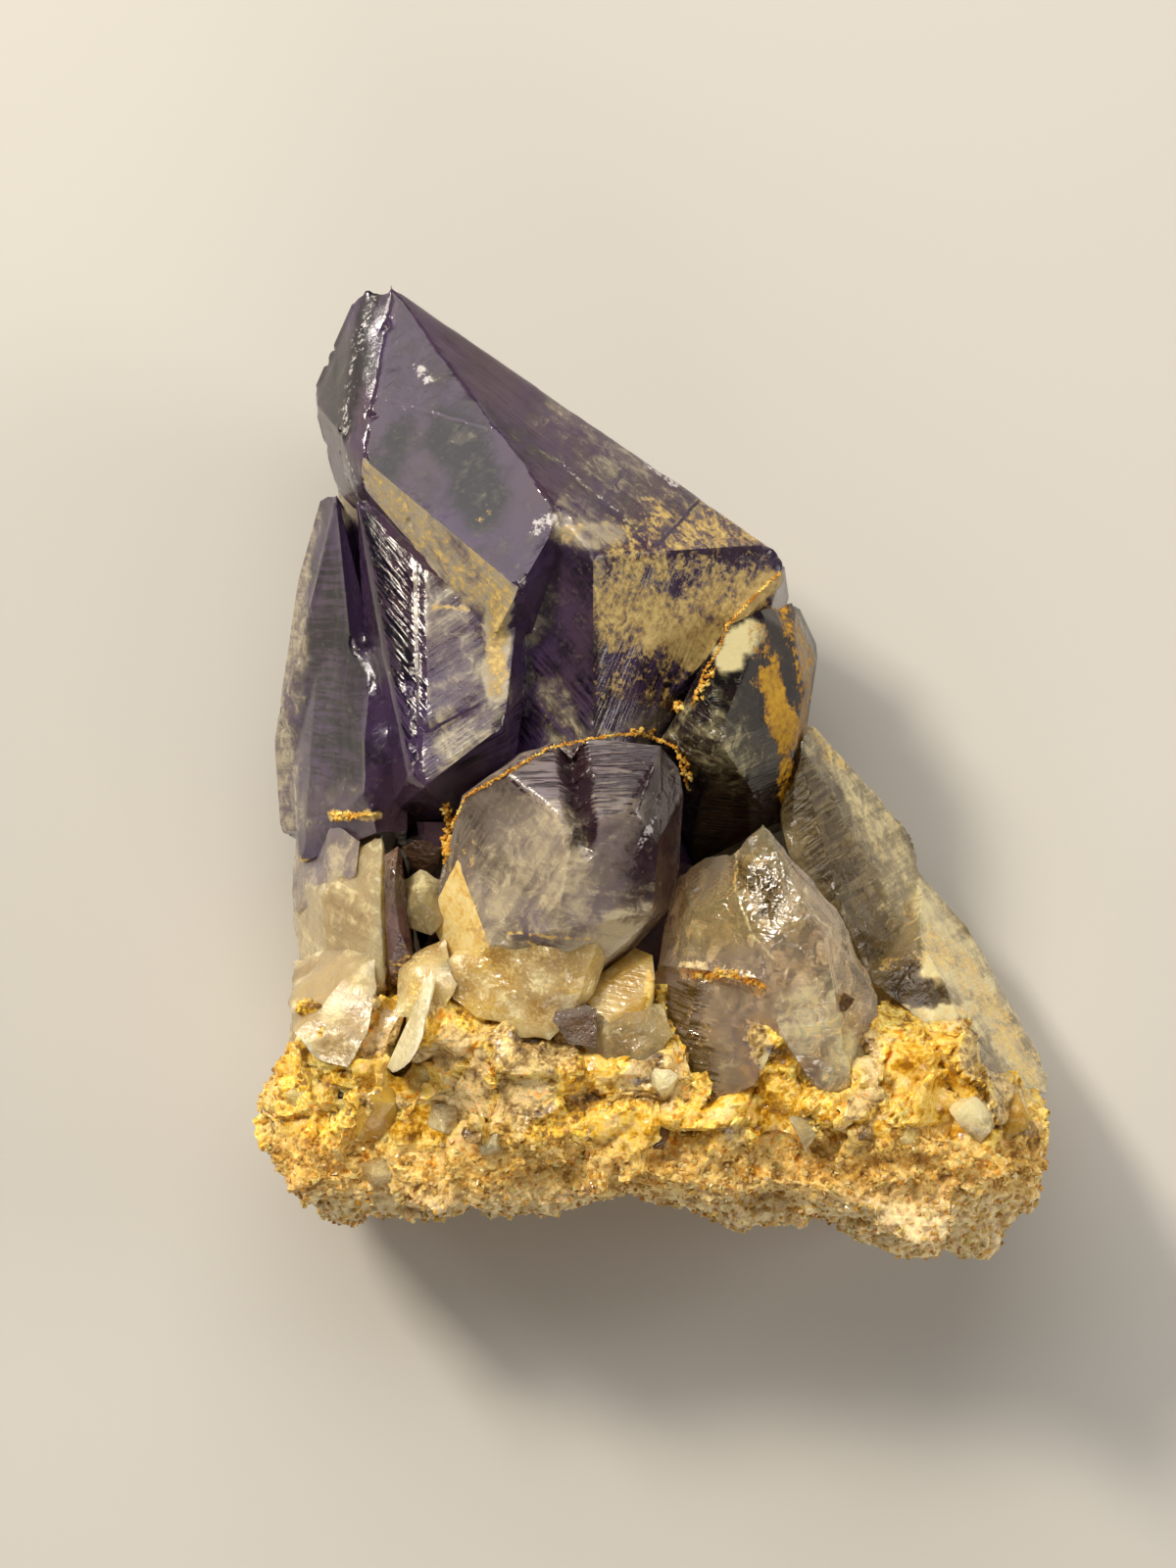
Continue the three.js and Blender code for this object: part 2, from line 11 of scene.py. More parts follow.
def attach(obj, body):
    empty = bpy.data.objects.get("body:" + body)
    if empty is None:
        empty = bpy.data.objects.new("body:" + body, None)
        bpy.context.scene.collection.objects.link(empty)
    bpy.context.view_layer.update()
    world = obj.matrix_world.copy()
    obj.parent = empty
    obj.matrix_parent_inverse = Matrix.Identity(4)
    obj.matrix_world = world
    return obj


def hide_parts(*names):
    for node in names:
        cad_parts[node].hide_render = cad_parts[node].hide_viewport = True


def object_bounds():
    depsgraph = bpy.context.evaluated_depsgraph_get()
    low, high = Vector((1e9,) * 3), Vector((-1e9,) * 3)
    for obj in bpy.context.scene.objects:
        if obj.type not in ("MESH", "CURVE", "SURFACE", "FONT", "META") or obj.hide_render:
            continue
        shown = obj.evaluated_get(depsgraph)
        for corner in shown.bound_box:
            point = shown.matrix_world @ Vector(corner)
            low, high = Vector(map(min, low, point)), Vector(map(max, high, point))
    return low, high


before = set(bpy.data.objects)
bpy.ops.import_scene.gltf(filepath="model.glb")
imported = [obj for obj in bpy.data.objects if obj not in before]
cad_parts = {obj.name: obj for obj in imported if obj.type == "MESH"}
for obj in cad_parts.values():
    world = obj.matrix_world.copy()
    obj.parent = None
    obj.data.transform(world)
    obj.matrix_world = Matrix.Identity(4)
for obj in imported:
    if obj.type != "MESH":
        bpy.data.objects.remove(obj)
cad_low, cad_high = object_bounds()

# ------------------------------ sizes

MM = 0.001                         # in metres, which the row frame is in
# All other lengths are in millimetres of a drawing whose origin is beside the middle of the
# cluster; this is where the row frame's origin stands in it.
DRAWING_ORIGIN = np.array((8.5, 1.629, 0.0))

WELD = 0.002 * MM                  # points closer than this are one point
ONE_FLAT = math.radians(0.4)       # faces that turn less than this are one flat face
CRISP = math.radians(12)           # edges that turn more than this chip
CRYSTAL_SHARP = math.radians(22)   # and edges past these angles are shaded crisp
ROCK_SHARP = math.radians(24)
CHUNK_SHARP = math.radians(26)
EDGE_SPACING = 0.5                 # between mesh points along an edge that chips
SEEN_SPACING = 0.62                # on faces that look up
HIDDEN_SPACING = 1.4               # on faces that look down or sideways
ROCK_SPACING = 0.55
CRUST_SPACING = 0.5
CHUNK_SPACING = 0.8
LINE_SPACING = 0.7                 # along the seams that crumbs lie in
EDGE_BAND = 1.6                    # how far from an edge the fine points reach
STEP_WALL = 1.1                    # a face narrower than this is the wall of a growth step
ABOVE = 90                         # higher than every crystal
CAMERA_HEIGHT = 900
VIEW_PLANE = 40                    # the view is twice HALF_VIEW high at this height
HALF_VIEW = 104
# What is painted on a crystal: iron oxide dust, milky veils and some painted reflections,
# lighter or darker body with some painted shade and reflection, pale bruises and some painted
# glints, and fine lines of growth
LAYERS = ("rust", "veil", "tone", "bruise", "lined")


def unit(vector):
    vector = np.asarray(vector, float)
    return vector / np.linalg.norm(vector)


def to_frame(points):
    """Millimetres of the drawing as metres of the row frame."""
    return (np.asarray(points, float) - DRAWING_ORIGIN) * MM


def to_drawing(points):
    return np.asarray(points, float) / MM + DRAWING_ORIGIN


def smooth(value, low, high):
    t = np.clip((value - low) / (high - low), 0.0, 1.0)
    return t * t * (3.0 - 2.0 * t)


# ------------------------------ noise


def dice(cells, seed):
    """A repeatable number from 0 to 1 for each whole-numbered cell."""
    x, y, z = (cells[..., i].astype(np.uint64) for i in range(3))
    mixed = x * np.uint64(73856093) ^ y * np.uint64(19349663) ^ z * np.uint64(83492791)
    mixed = (mixed + np.uint64(seed * 7919 + 13)) * np.uint64(0x9E3779B97F4A7C15)
    mixed ^= mixed >> np.uint64(31)
    mixed *= np.uint64(0xBF58476D1CE4E5B9)
    mixed ^= mixed >> np.uint64(29)
    return (mixed >> np.uint64(40)).astype(float) / float(1 << 24)


def cells_of(points, size):
    """Points in cells of a lattice, whose corners are far from the drawing's origin."""
    scaled = np.asarray(points) / size + 1000.5
    return scaled, np.floor(scaled).astype(np.int64)


def wave(points, size, seed):
    """Smooth noise from -1 to 1 whose bumps are `size` millimetres across."""
    scaled, cells = cells_of(points, size)
    rest = scaled - cells
    rest = rest * rest * (3 - 2 * rest)
    total = 0.0
    for corner in np.ndindex(2, 2, 2):
        share = np.prod(np.where(corner, rest, 1 - rest), axis=-1)
        total = total + share * dice(cells + corner, seed)
    return 2 * total - 1


def waves(points, size, seed):
    """Three waves side by side, to push points about with."""
    return np.stack([wave(points, size, seed + i) for i in range(3)], axis=1)


def flats(points, size, seed):
    """Height, from -1 to 1, of a surface broken into tilted flats `size` millimetres across,
    how far each point is from the border of its flat, and a number from 0 to 1 for each."""
    scaled, cells = cells_of(points, size)
    first = np.full(len(scaled), 9.0)
    second = first.copy()
    height = np.zeros(len(scaled))
    number = height.copy()
    for step in np.ndindex(3, 3, 3):
        cell = cells + np.array(step) - 1
        draws = np.stack([dice(cell, seed + i) for i in range(6)], axis=-1)
        centre, tilt = cell + draws[:, :3], draws[:, 3:] * 2 - 1
        way = scaled - centre
        gap = np.linalg.norm(way, axis=1)
        nearer = gap < first
        second = np.where(nearer, first, np.minimum(second, gap))
        height = np.where(nearer, 1.4 * np.sum(way * tilt, axis=1) + 0.6 * tilt[:, 2], height)
        number = np.where(nearer, dice(cell, seed + 9), number)
        first = np.where(nearer, gap, first)
    return np.clip(height, -1, 1), (second - first) * size, number


# ------------------------------ meshes


def shade(mesh, sharp):
    """Shades a mesh smooth, but crisp past an angle."""
    mesh.shade_smooth()
    mesh.set_sharp_from_angle(angle=sharp)


def new_mesh(name, points, triangles, sharp):
    """A mesh in the row frame from millimetres of the drawing, crisp past an angle."""
    mesh = bpy.data.meshes.new(name)
    points = np.clip(to_frame(points), cad_low, cad_high)
    mesh.from_pydata(points.tolist(), [], np.asarray(triangles).tolist())
    mesh.update()
    shade(mesh, sharp)
    return mesh


def link(name, data):
    """A new object in the scene."""
    thing = bpy.data.objects.new(name, data)
    bpy.context.scene.collection.objects.link(thing)
    return thing


def new_piece(name, mesh, material, slot, *nodes):
    """A finished piece of the cluster, standing for the solids it replaces."""
    piece = link(name, mesh)
    mesh.materials.clear()
    mesh.materials.append(material)
    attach(piece, "root")
    if nodes:
        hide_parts(*nodes)
    return piece


def store(mesh, domain="CORNER", **layers):
    """Layers of numbers or vectors on a mesh, for its finish and for what grows on it."""
    for layer, values in layers.items():
        kind, field = (("FLOAT_VECTOR", "vector") if np.ndim(values) == 2 else ("FLOAT", "value"))
        attribute = mesh.attributes.new(layer, kind, domain)
        attribute.data.foreach_set(field, np.ascontiguousarray(values, np.float32).ravel())


def baked(thing):
    """The mesh that an object's modifiers make, in place of the object."""
    graph = bpy.context.evaluated_depsgraph_get()
    mesh = bpy.data.meshes.new_from_object(thing.evaluated_get(graph))
    thing.modifiers.clear()
    bpy.data.objects.remove(thing)
    return mesh


def read(mesh, field):
    """The places or the normals of the mesh's points."""
    values = np.zeros(len(mesh.vertices) * 3)
    mesh.vertices.foreach_get(field, values)
    return values.reshape(-1, 3)


def move_to(mesh, points):
    """Moves the mesh's points, held inside the CAD's box, and gives where they are."""
    points = np.clip(points, cad_low, cad_high)
    mesh.vertices.foreach_set("co", points.ravel())
    return points


def solids(*nodes):
    """The CAD skin of some nodes, in metres of the row frame."""
    bm = bmesh.new()
    for node in nodes:
        bm.from_mesh(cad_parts[node].data)
    return bm


def natural_faces(node):
    """The node's skin with each flat face as one polygon."""
    bm = solids(node)
    bmesh.ops.remove_doubles(bm, verts=bm.verts, dist=WELD)
    bmesh.ops.dissolve_degenerate(bm, edges=bm.edges, dist=WELD)
    bmesh.ops.dissolve_limit(bm, angle_limit=ONE_FLAT, verts=bm.verts, edges=bm.edges)
    bm.verts.index_update()
    bm.edges.index_update()
    bm.normal_update()
    return bm


def plain(name, bm):
    """A mesh made of the bmesh, which is used up."""
    mesh = bpy.data.meshes.new(name)
    bm.to_mesh(mesh)
    bm.free()
    return mesh


def gap_to_lines(points, starts, ends):
    """Distance from each point to the nearest of the lines, and the nearest place on it."""
    best = np.full(len(points), 1e9)
    nearest = np.array(points, float)
    for start, end in zip(starts, ends):
        way = end - start
        t = np.clip((points - start) @ way / max(float(way @ way), 1e-9), 0, 1)
        place = start + t[:, None] * way
        gap = np.linalg.norm(points - place, axis=1)
        closer = gap < best
        best[closer] = gap[closer]
        nearest[closer] = place[closer]
    return best, nearest


def hex_grid(low, high, spacing):
    """Points of a triangular grid over a rectangle."""
    rows = np.arange(low[1], high[1], spacing * 0.866)
    columns = np.arange(low[0], high[0], spacing)
    grid = np.array([(x + (i % 2) * spacing / 2, y) for i, y in enumerate(rows) for x in columns])
    return grid.reshape(-1, 2)


def fine_skin(node):
    """Splits a node's flat faces into small triangles, finest beside the edges that chip.
    Gives the points, the triangles, each triangle's flat face, and the chipping edges."""
    bm = natural_faces(node)
    points = [to_drawing(v.co[:]) for v in bm.verts]
    walls = {f.index for f in bm.faces if 2 * f.calc_area() < STEP_WALL * MM * f.calc_perimeter()}
    crisp = [e for e in bm.edges if e.is_manifold and e.calc_face_angle_signed(0.0) > CRISP
        and not walls & {f.index for f in e.link_faces}]
    starts, ends = (np.array([points[e.verts[i].index] for e in crisp]) for i in (0, 1))
    crisp_ids = {e.index for e in crisp}
    strings = {}
    for edge in bm.edges:
        a, b = (v.index for v in edge.verts)
        spacing = EDGE_SPACING if edge.index in crisp_ids else SEEN_SPACING
        count = max(1, round(float(np.linalg.norm(points[b] - points[a])) / spacing))
        middle = range(len(points), len(points) + count - 1)
        points += [points[a] + (points[b] - points[a]) * i / count for i in range(1, count)]
        strings[edge.index] = [a, *middle, b]

    triangles, owners, normals = [], [], []
    for face in bm.faces:
        normal = np.array(face.normal[:])
        steady = (0.0, 0.0, 1.0) if abs(normal[2]) < 0.9 else (1.0, 0.0, 0.0)
        across = unit(np.cross(normal, steady))
        up = np.cross(normal, across)
        ring, at = [], {}
        for loop in face.loops:
            ids = strings[loop.edge.index]
            at[loop.vert.index] = len(ring)
            ring += (ids if ids[0] == loop.vert.index else ids[::-1])[:-1]
        base = points[ring[0]]
        ring_flat = np.array([((points[i] - base) @ across, (points[i] - base) @ up)
            for i in ring])
        spacing = SEEN_SPACING if normal[2] > 0.12 else HIDDEN_SPACING
        low, high = ring_flat.min(axis=0), ring_flat.max(axis=0)
        sides = [[ring_flat[at[l.vert.index]], ring_flat[at[l.link_loop_next.vert.index]]]
            for l in face.loops]
        chipping = [side for side, l in zip(sides, face.loops) if l.edge.index in crisp_ids]
        inner = hex_grid(low, high, spacing)
        if chipping:
            near = hex_grid(low, high, EDGE_SPACING)
            near = near[gap_to_lines(near, *zip(*chipping))[0] < EDGE_BAND]
            inner = inner[gap_to_lines(inner, *zip(*chipping))[0] >= EDGE_BAND]
            inner = np.concatenate([near, inner])
        if len(inner):
            inner = inner[gap_to_lines(inner, *zip(*sides))[0] > 0.45 * EDGE_SPACING]
        count = len(ring)
        flat = [Vector(p) for p in ring_flat] + [Vector(p) for p in inner]
        corners, _, cells, sources, _, _ = delaunay_2d_cdt(flat, [], [list(range(count))], 1, 1e-5)
        ids = {}
        for cell in cells:
            for k in cell:
                if k not in ids:
                    on_ring = [s for s in sources[k] if s < count]
                    if on_ring:
                        ids[k] = ring[on_ring[0]]
                    else:
                        ids[k] = len(points)
                        points.append(base + corners[k][0] * across + corners[k][1] * up)
            triangles.append([ids[k] for k in cell])
            owners.append(face.index)
        normals.append(normal)
    bm.free()
    points, triangles, owners = np.array(points), np.array(triangles), np.array(owners)
    points = worn_steps(points, triangles, np.isin(owners, list(walls)))
    return points, triangles, owners, np.array(normals), starts, ends


def sides_of(triangles):
    """The sides of all triangles, each as its two ends."""
    return np.concatenate([triangles[:, [0, 1]], triangles[:, [1, 2]], triangles[:, [2, 0]]])


def worn_steps(points, triangles, on_wall):
    """Rounds the walls of growth steps and the skin within a millimetre or so of them."""
    sides = sides_of(triangles)
    pairs = np.unique(np.sort(sides, axis=1), axis=0)
    pairs = np.concatenate([pairs, pairs[:, ::-1]])
    near = np.zeros(len(points), bool)
    near[triangles[on_wall].ravel()] = True
    for _ in range(2):
        near[pairs[near[pairs[:, 0]], 1]] = True
    count = np.bincount(pairs[:, 0], minlength=len(points))[:, None]
    for _ in range(10):
        total = np.stack([np.bincount(pairs[:, 0], points[pairs[:, 1], i], len(points))
            for i in range(3)], axis=1)
        points = np.where(near[:, None], 0.4 * points + 0.6 * total / count, points)
    return points


def outward(count, triangles, owners, normals):
    """For each point, the sum of the directions of the flat faces it lies on."""
    pairs = np.unique(np.stack([triangles.ravel(), np.repeat(owners, 3)], axis=1), axis=0)
    total = np.zeros((count, 3))
    np.add.at(total, pairs[:, 0], normals[pairs[:, 1]])
    return total / np.maximum(np.linalg.norm(total, axis=1), 1e-9)[:, None]


def crystal(node, material, slot, seed, depth=0.5, reach=1.2, chipped=0.25, axis=(0.1, 1.0, 0.3),
        grain=(), base=(), battered=(), grooves=(), broken=0.0, dusty=0.0, **marks):
    """A crystal: its flat faces with chipped edges and faint growth terraces, and its marks
    painted as layers that the material reads. `axis` is the way it grew, `grain` the way its
    growth lines run on some faces, `base` what a layer starts at, `broken` how deep its
    shell-like breaks are, and `dusty` how much ochre lies on it beside the rock. The marks
    of a layer are (path, width, strength), and may end with the way that the marked face
    looks and how near to it a face must look to take the mark."""
    points, triangles, owners, normals, starts, ends = fine_skin(node)
    out = outward(len(points), triangles, owners, normals)

    # Chips bite along the edges, deepest where the noise along the edge runs high.
    gap, nearest = gap_to_lines(points, starts, ends)
    run = wave(nearest, 3.1, seed) + 0.55 * wave(nearest, 1.1, seed + 1)
    for path, width, more in battered:
        run = run + more * stroke(nearest, path, width, seed)
    ragged = wave(points, 0.9, seed + 2)
    chip = smooth(run, 1 - 2 * chipped, 1.25 - 2 * chipped)
    chip = chip * np.clip(1 - gap / (reach * (0.75 + 0.35 * ragged)), 0, 1)
    worn = 0.06 * np.clip(1 - gap / 0.5, 0, 1) ** 2
    # Terraces of growth, a few hundredths of a millimetre high, and a slight wave.
    rise = 2.2 * wave(points, 11.0, seed + 3) + 0.5 * wave(points, 3.0, seed + 4)
    terrace = 0.07 * (np.floor(rise) + smooth(rise - np.floor(rise), 0.35, 0.65))
    terrace = terrace + 0.05 * wave(points, 6.0, seed + 5)
    inward = depth * chip * (0.75 + 0.45 * ragged) + worn + (0.12 - terrace) * np.clip(gap, 0, 1)
    for path, width, sunk in grooves:
        path = np.array(path, float)
        away = gap_to_lines(points[:, :2], path[:-1], path[1:])[0]
        inward = inward + sunk * np.clip(1 - away / width, 0, 1)
    if broken:
        shells = 0.6 * flats(points, 4.5, seed + 8)[0] + 0.4 * wave(points, 2.2, seed + 9)
        inward = inward + broken * (0.6 + shells)
    points = points - out * inward[:, None]

    mesh = new_mesh(node, points, triangles, CRYSTAL_SHARP)
    corners = triangles.ravel()
    place = points[corners]
    look = np.repeat(normals[owners], 3, axis=0)

    layers = {name: np.full(len(corners), dict(base).get(name, 0.0)) for name in LAYERS}
    layers["bruise"] = np.maximum(layers["bruise"], np.clip(0.55 * chip[corners], 0, 1))
    facet = dice(np.stack([owners] * 3, axis=-1), seed)
    layers["tone"] += 0.16 * (facet - 0.5).repeat(3)
    if dusty:
        gap_to_rock = np.array([rock_skin.find_nearest(p)[3] or 0.0
            for p in map(Vector, to_frame(points))]) / MM
        dust = dusty * (1 - smooth(gap_to_rock + 2.5 * wave(points, 5.0, seed + 6), 0.0, 6.0))
        layers["rust"] = np.maximum(layers["rust"], dust[corners])
    for layer, strokes in marks.items():
        gather = np.add if layer == "tone" else np.maximum
        for path, width, strength, *face in strokes:
            share = strength * stroke(points, path, width, seed)[corners]
            if face:
                way, near = (*face, 0.93)[:2]
                share = share * smooth(look @ unit(way), near, 0.985)
            layers[layer] = gather(layers[layer], share)
    # Growth lines run across the way the crystal grew, or along their own way on some faces.
    lines = np.cross(look, unit(axis))
    for face, way in grain:
        lines = np.where((look @ unit(face) > 0.95)[:, None], unit(way), lines)
    lines = lines / np.maximum(np.linalg.norm(lines, axis=1), 1e-6)[:, None]
    across = np.cross(look, lines)
    growth = np.stack([np.sum(place * across, axis=1), 0.06 * np.sum(place * lines, axis=1),
        np.repeat(owners, 3) * 3.7], axis=1)
    store(mesh, **layers, growth=growth)
    new_piece(node + "_quartz", mesh, material, slot, node)


def stroke(points, path, width, seed):
    """1 along the path as seen from above, falling to 0 at `width` millimetres, ragged."""
    flat = np.array(points, float)[:, :2]
    path = np.array(path, float)
    gap = gap_to_lines(flat, path[:-1], path[1:])[0]
    gap = gap + 0.3 * width * wave(points, max(0.8, 0.7 * width), seed + 7)
    return smooth(1 - gap / width, 0.0, 0.8)


everything = BVHTree.FromBMesh(solids(*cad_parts))
rock_skin = BVHTree.FromBMesh(solids("rock_matrix"))


def height_at(x, y):
    """Height of the skin, in millimetres, seen from above the drawing's (x, y)."""
    place = everything.ray_cast(Vector(to_frame((x, y, ABOVE))), Vector((0, 0, -1)))[0]
    return to_drawing(place)[2] if place else None


# ------------------------------ materials


def linear(hex_colour):
    """An sRGB hex colour as the linear RGBA that a shader takes."""
    parts = [int(hex_colour[i:i + 2], 16) / 255 for i in (1, 3, 5)]
    return (*[c / 12.92 if c <= 0.04045 else ((c + 0.055) / 1.055) ** 2.4 for c in parts], 1.0)


def add(tree, kind, inputs=(), output=0, stops=(), **settings):
    """A new node with its settings, its colour stops, its input values and the links into it.
    Gives back one of its outputs."""
    node = tree.nodes.new(kind)
    for key, value in settings.items():
        setattr(node, key, value)
    for i, (position, colour) in enumerate(stops):
        if i == 0:
            node.color_ramp.elements.remove(node.color_ramp.elements[-1])
        element = node.color_ramp.elements.new(position) if i else node.color_ramp.elements[0]
        element.position = position
        element.color = linear(colour)
    for key, value in dict(inputs).items():
        if isinstance(value, bpy.types.NodeSocket):
            tree.links.new(value, node.inputs[key])
        else:
            hex_colour = isinstance(value, str) and value.startswith("#")
            node.inputs[key].default_value = linear(value) if hex_colour else value
    return node.outputs[output] if node.outputs else None


def new_material(name):
    """A material with no nodes yet, and its tree."""
    material = bpy.data.materials.new(name)
    material.use_nodes = True
    material.node_tree.nodes.clear()
    return material, material.node_tree


def clouds(tree, vector, size, detail, rough, twist=0.0, **curve):
    """Clouds of one size, stretched to run from 0 to 1."""
    noise = add(tree, "ShaderNodeTexNoise", {"Vector": vector, "Scale": 1 / size,
        "Detail": detail, "Roughness": rough, "Distortion": twist})
    return add(tree, "ShaderNodeMapRange", {0: noise, 1: 0.3, 2: 0.7}, **curve)


def total(tree, start, *parts):
    """The start, a value or a constant, plus each part's value times its share."""
    for value, share in parts:
        start = add(tree, "ShaderNodeMath", {0: value, 1: share, 2: start},
            operation="MULTIPLY_ADD")
    return start


def finished(material, colour, rough, more=(), **volume):
    """The material, with its surface, and a volume if it is given one."""
    surface = add(material.node_tree, "ShaderNodeBsdfPrincipled", {"Base Color": colour,
        "Roughness": rough, **dict(more)})
    add(material.node_tree, "ShaderNodeOutputMaterial", {"Surface": surface, **volume})
    return material


# Settings that many nodes share
COLOURS = {"data_type": "RGBA", "output": 2}
EASED = {"interpolation_type": "SMOOTHSTEP"}
TIMES = {"operation": "MULTIPLY"}

QUARTZ_IOR = 1.544
OLIVE = ((0.1, "#6a5236"), (0.35, "#8f7446"), (0.6, "#b5954f"), (0.9, "#d8bc72"))
GOLD = ((0.1, "#a8701c"), (0.35, "#d29a2c"), (0.6, "#ecbf50"), (0.9, "#f8e29a"))
ORANGE = ((0.1, "#402808"), (0.35, "#704a06"), (0.6, "#a87404"), (0.9, "#d0a00c"))


def quartz(name, clean, flush, dark, milk, through, absorb, density, stain=GOLD, gloss=0.06,
        glow=0.0, lines_height=0.6, wet=0.0, streaky=0.25, cover=0.92, flecked=0.15, shine=0.5,
        pitted=0.25):
    """Natural quartz. The eye sees a glassy skin over a clear body that is tinted by its
    depth, clouds that run from `clean` and `flush` to `dark`, milky veils, pale bruises where
    it was knocked, lines of growth, and a dusty film of iron oxide with pits. Painted
    reflections are laid among the milky veils, painted glints among the bruises, and painted
    shade and reflection among the lighter and darker marks of the body. `through` is
    the share of light that enters clean faces, `absorb` and `density` what the body swallows,
    `stain` the film's colours and `cover` how much it hides, `wet` and `pitted` the height of
    ripples and pits, `streaky` how far colours follow the growth lines, and `flecked` how
    milky the small flecks inside are."""
    material, tree = new_material(name)
    coords = add(tree, "ShaderNodeTexCoord", output="Object")
    growth = add(tree, "ShaderNodeAttribute", output="Vector", attribute_name="growth")
    rust, veil, tone, bruise, lined = (
        add(tree, "ShaderNodeAttribute", output="Fac", attribute_name=layer) for layer in LAYERS)
    region = clouds(tree, coords, 16 * MM, 2.0, 0.5, 0.3, **EASED)
    cloud = clouds(tree, coords, 7 * MM, 4.0, 0.62, 0.5, **EASED)
    wisp = clouds(tree, coords, 2.4 * MM, 4.0, 0.68, 0.9, **EASED)
    speck = clouds(tree, coords, 0.75 * MM, 3.0, 0.7, **EASED)
    lines = clouds(tree, growth, 0.45, 2.0, 0.65, **EASED)
    broad_lines = clouds(tree, growth, 2.0, 2.0, 0.5, **EASED)

    # The body: clear, with darker clouds drawn out along the growth lines; its lighter and darker
    # marks hold some painted shade and painted reflection
    drawn = add(tree, "ShaderNodeMapRange", {0: lines, 1: 0.25, 2: 0.75, 3: -0.35, 4: 0.6},
        **EASED)
    drawn = add(tree, "ShaderNodeMath", {0: lined, 1: drawn}, **TIMES)
    darkness = total(tree, -0.1, (tone, -1.0), (lines, streaky), (wisp, 0.3), (cloud, 0.45),
        (drawn, 1.0))
    darkness = add(tree, "ShaderNodeMapRange", {0: darkness, 1: 0.1, 2: 0.9}, **EASED)
    body = add(tree, "ShaderNodeMix", {0: region, 6: clean, 7: flush}, **COLOURS)
    body = add(tree, "ShaderNodeMix", {0: darkness, 6: body, 7: dark}, **COLOURS)
    # Milky veils, with painted reflections laid in among them in the milk colour, wispy at their
    # rims, and flecks
    veiled = total(tree, veil, (cloud, 0.22), (broad_lines, 0.16), (lines, streaky), (wisp, 0.3))
    veiled = add(tree, "ShaderNodeMapRange", {0: veiled, 1: 0.55, 2: 1.3}, **EASED)
    flecks = total(tree, 0.0, (wisp, 0.45), (speck, 0.55))
    flecks = add(tree, "ShaderNodeMapRange", {0: flecks, 1: 0.6, 2: 0.95, 4: flecked}, **EASED)
    milk_and_reflection = add(tree, "ShaderNodeMath", {0: veiled, 1: flecks}, operation="ADD",
        use_clamp=True)
    body = add(tree, "ShaderNodeMix", {0: milk_and_reflection, 6: body, 7: milk}, **COLOURS)
    # Bruises, and painted glints laid in among them, in pale grey
    knocked_and_glinting = total(tree, bruise, (wisp, 0.3), (speck, 0.7))
    knocked_and_glinting = add(tree, "ShaderNodeMapRange", {0: knocked_and_glinting, 1: 0.9, 2: 1.35}, **EASED)
    body = add(tree, "ShaderNodeMix", {0: knocked_and_glinting, 6: body, 7: "#cfc8c8"}, **COLOURS)
    # The film of iron oxide: a brown haze where it is thin, bright dust where it is thick,
    # with pits and streaks where it is missing
    thick = total(tree, rust, (wisp, 0.32), (lines, streaky), (speck, 0.28))
    thick = add(tree, "ShaderNodeMapRange", {0: thick, 1: 0.6, 2: 1.3}, **EASED)
    film = add(tree, "ShaderNodeMapRange", {0: thick, 2: 0.7, 4: cover}, **EASED)
    ochre = total(tree, 0.0, (wisp, 0.25), (speck, 0.2), (thick, 0.55))
    ochre = add(tree, "ShaderNodeValToRGB", {0: ochre}, stops=stain)
    body = add(tree, "ShaderNodeMix", {0: film, 6: body, 7: ochre}, **COLOURS)

    # Light enters where there is no film, and less of it where milk, bruises, painted reflections
    # or painted glints bar its way
    entering = add(tree, "ShaderNodeMapRange", {0: film, 3: through, 4: 0.0}, **EASED)
    for bar, left in ((milk_and_reflection, 0.3), (knocked_and_glinting, 0.4)):
        passed = add(tree, "ShaderNodeMapRange", {0: bar, 3: 1.0, 4: left}, **EASED)
        entering = add(tree, "ShaderNodeMath", {0: entering, 1: passed}, **TIMES)
    dull = add(tree, "ShaderNodeMapRange", {0: cloud, 1: 0.2, 2: 0.9, 3: gloss, 4: gloss + 0.12},
        **EASED)
    dull = total(tree, dull, (film, 0.5), (knocked_and_glinting, 0.1), (milk_and_reflection, 0.1))
    # Ripples stand in patches, so that hammered and smooth breaks lie side by side.
    rippled = add(tree, "ShaderNodeMapRange", {0: region, 1: 0.35, 2: 0.65, 3: 0.3, 4: 1.0},
        **EASED)
    ripple = clouds(tree, coords, 1.3 * MM, 2.0, 0.5, 0.6, **EASED)
    ripple = add(tree, "ShaderNodeMath", {0: ripple, 1: rippled}, **TIMES)
    ridges = add(tree, "ShaderNodeMath", {0: lined, 1: lines}, **TIMES)
    relief = total(tree, 0.0, (lines, lines_height), (broad_lines, 0.5), (speck, pitted),
        (ridges, 1.0), (ripple, wet))
    relief = add(tree, "ShaderNodeBump", {"Height": relief, "Strength": 0.8,
        "Distance": 0.06 * MM})
    inside = add(tree, "ShaderNodeVolumeAbsorption", {"Color": absorb, "Density": density})
    return finished(material, body, dull, {"IOR": QUARTZ_IOR, "Transmission Weight": entering,
        "Specular IOR Level": shine, "Normal": relief, "Subsurface Weight": glow,
        "Subsurface Radius": (1.0, 0.85, 0.6), "Subsurface Scale": 4.0 * MM}, Volume=inside)


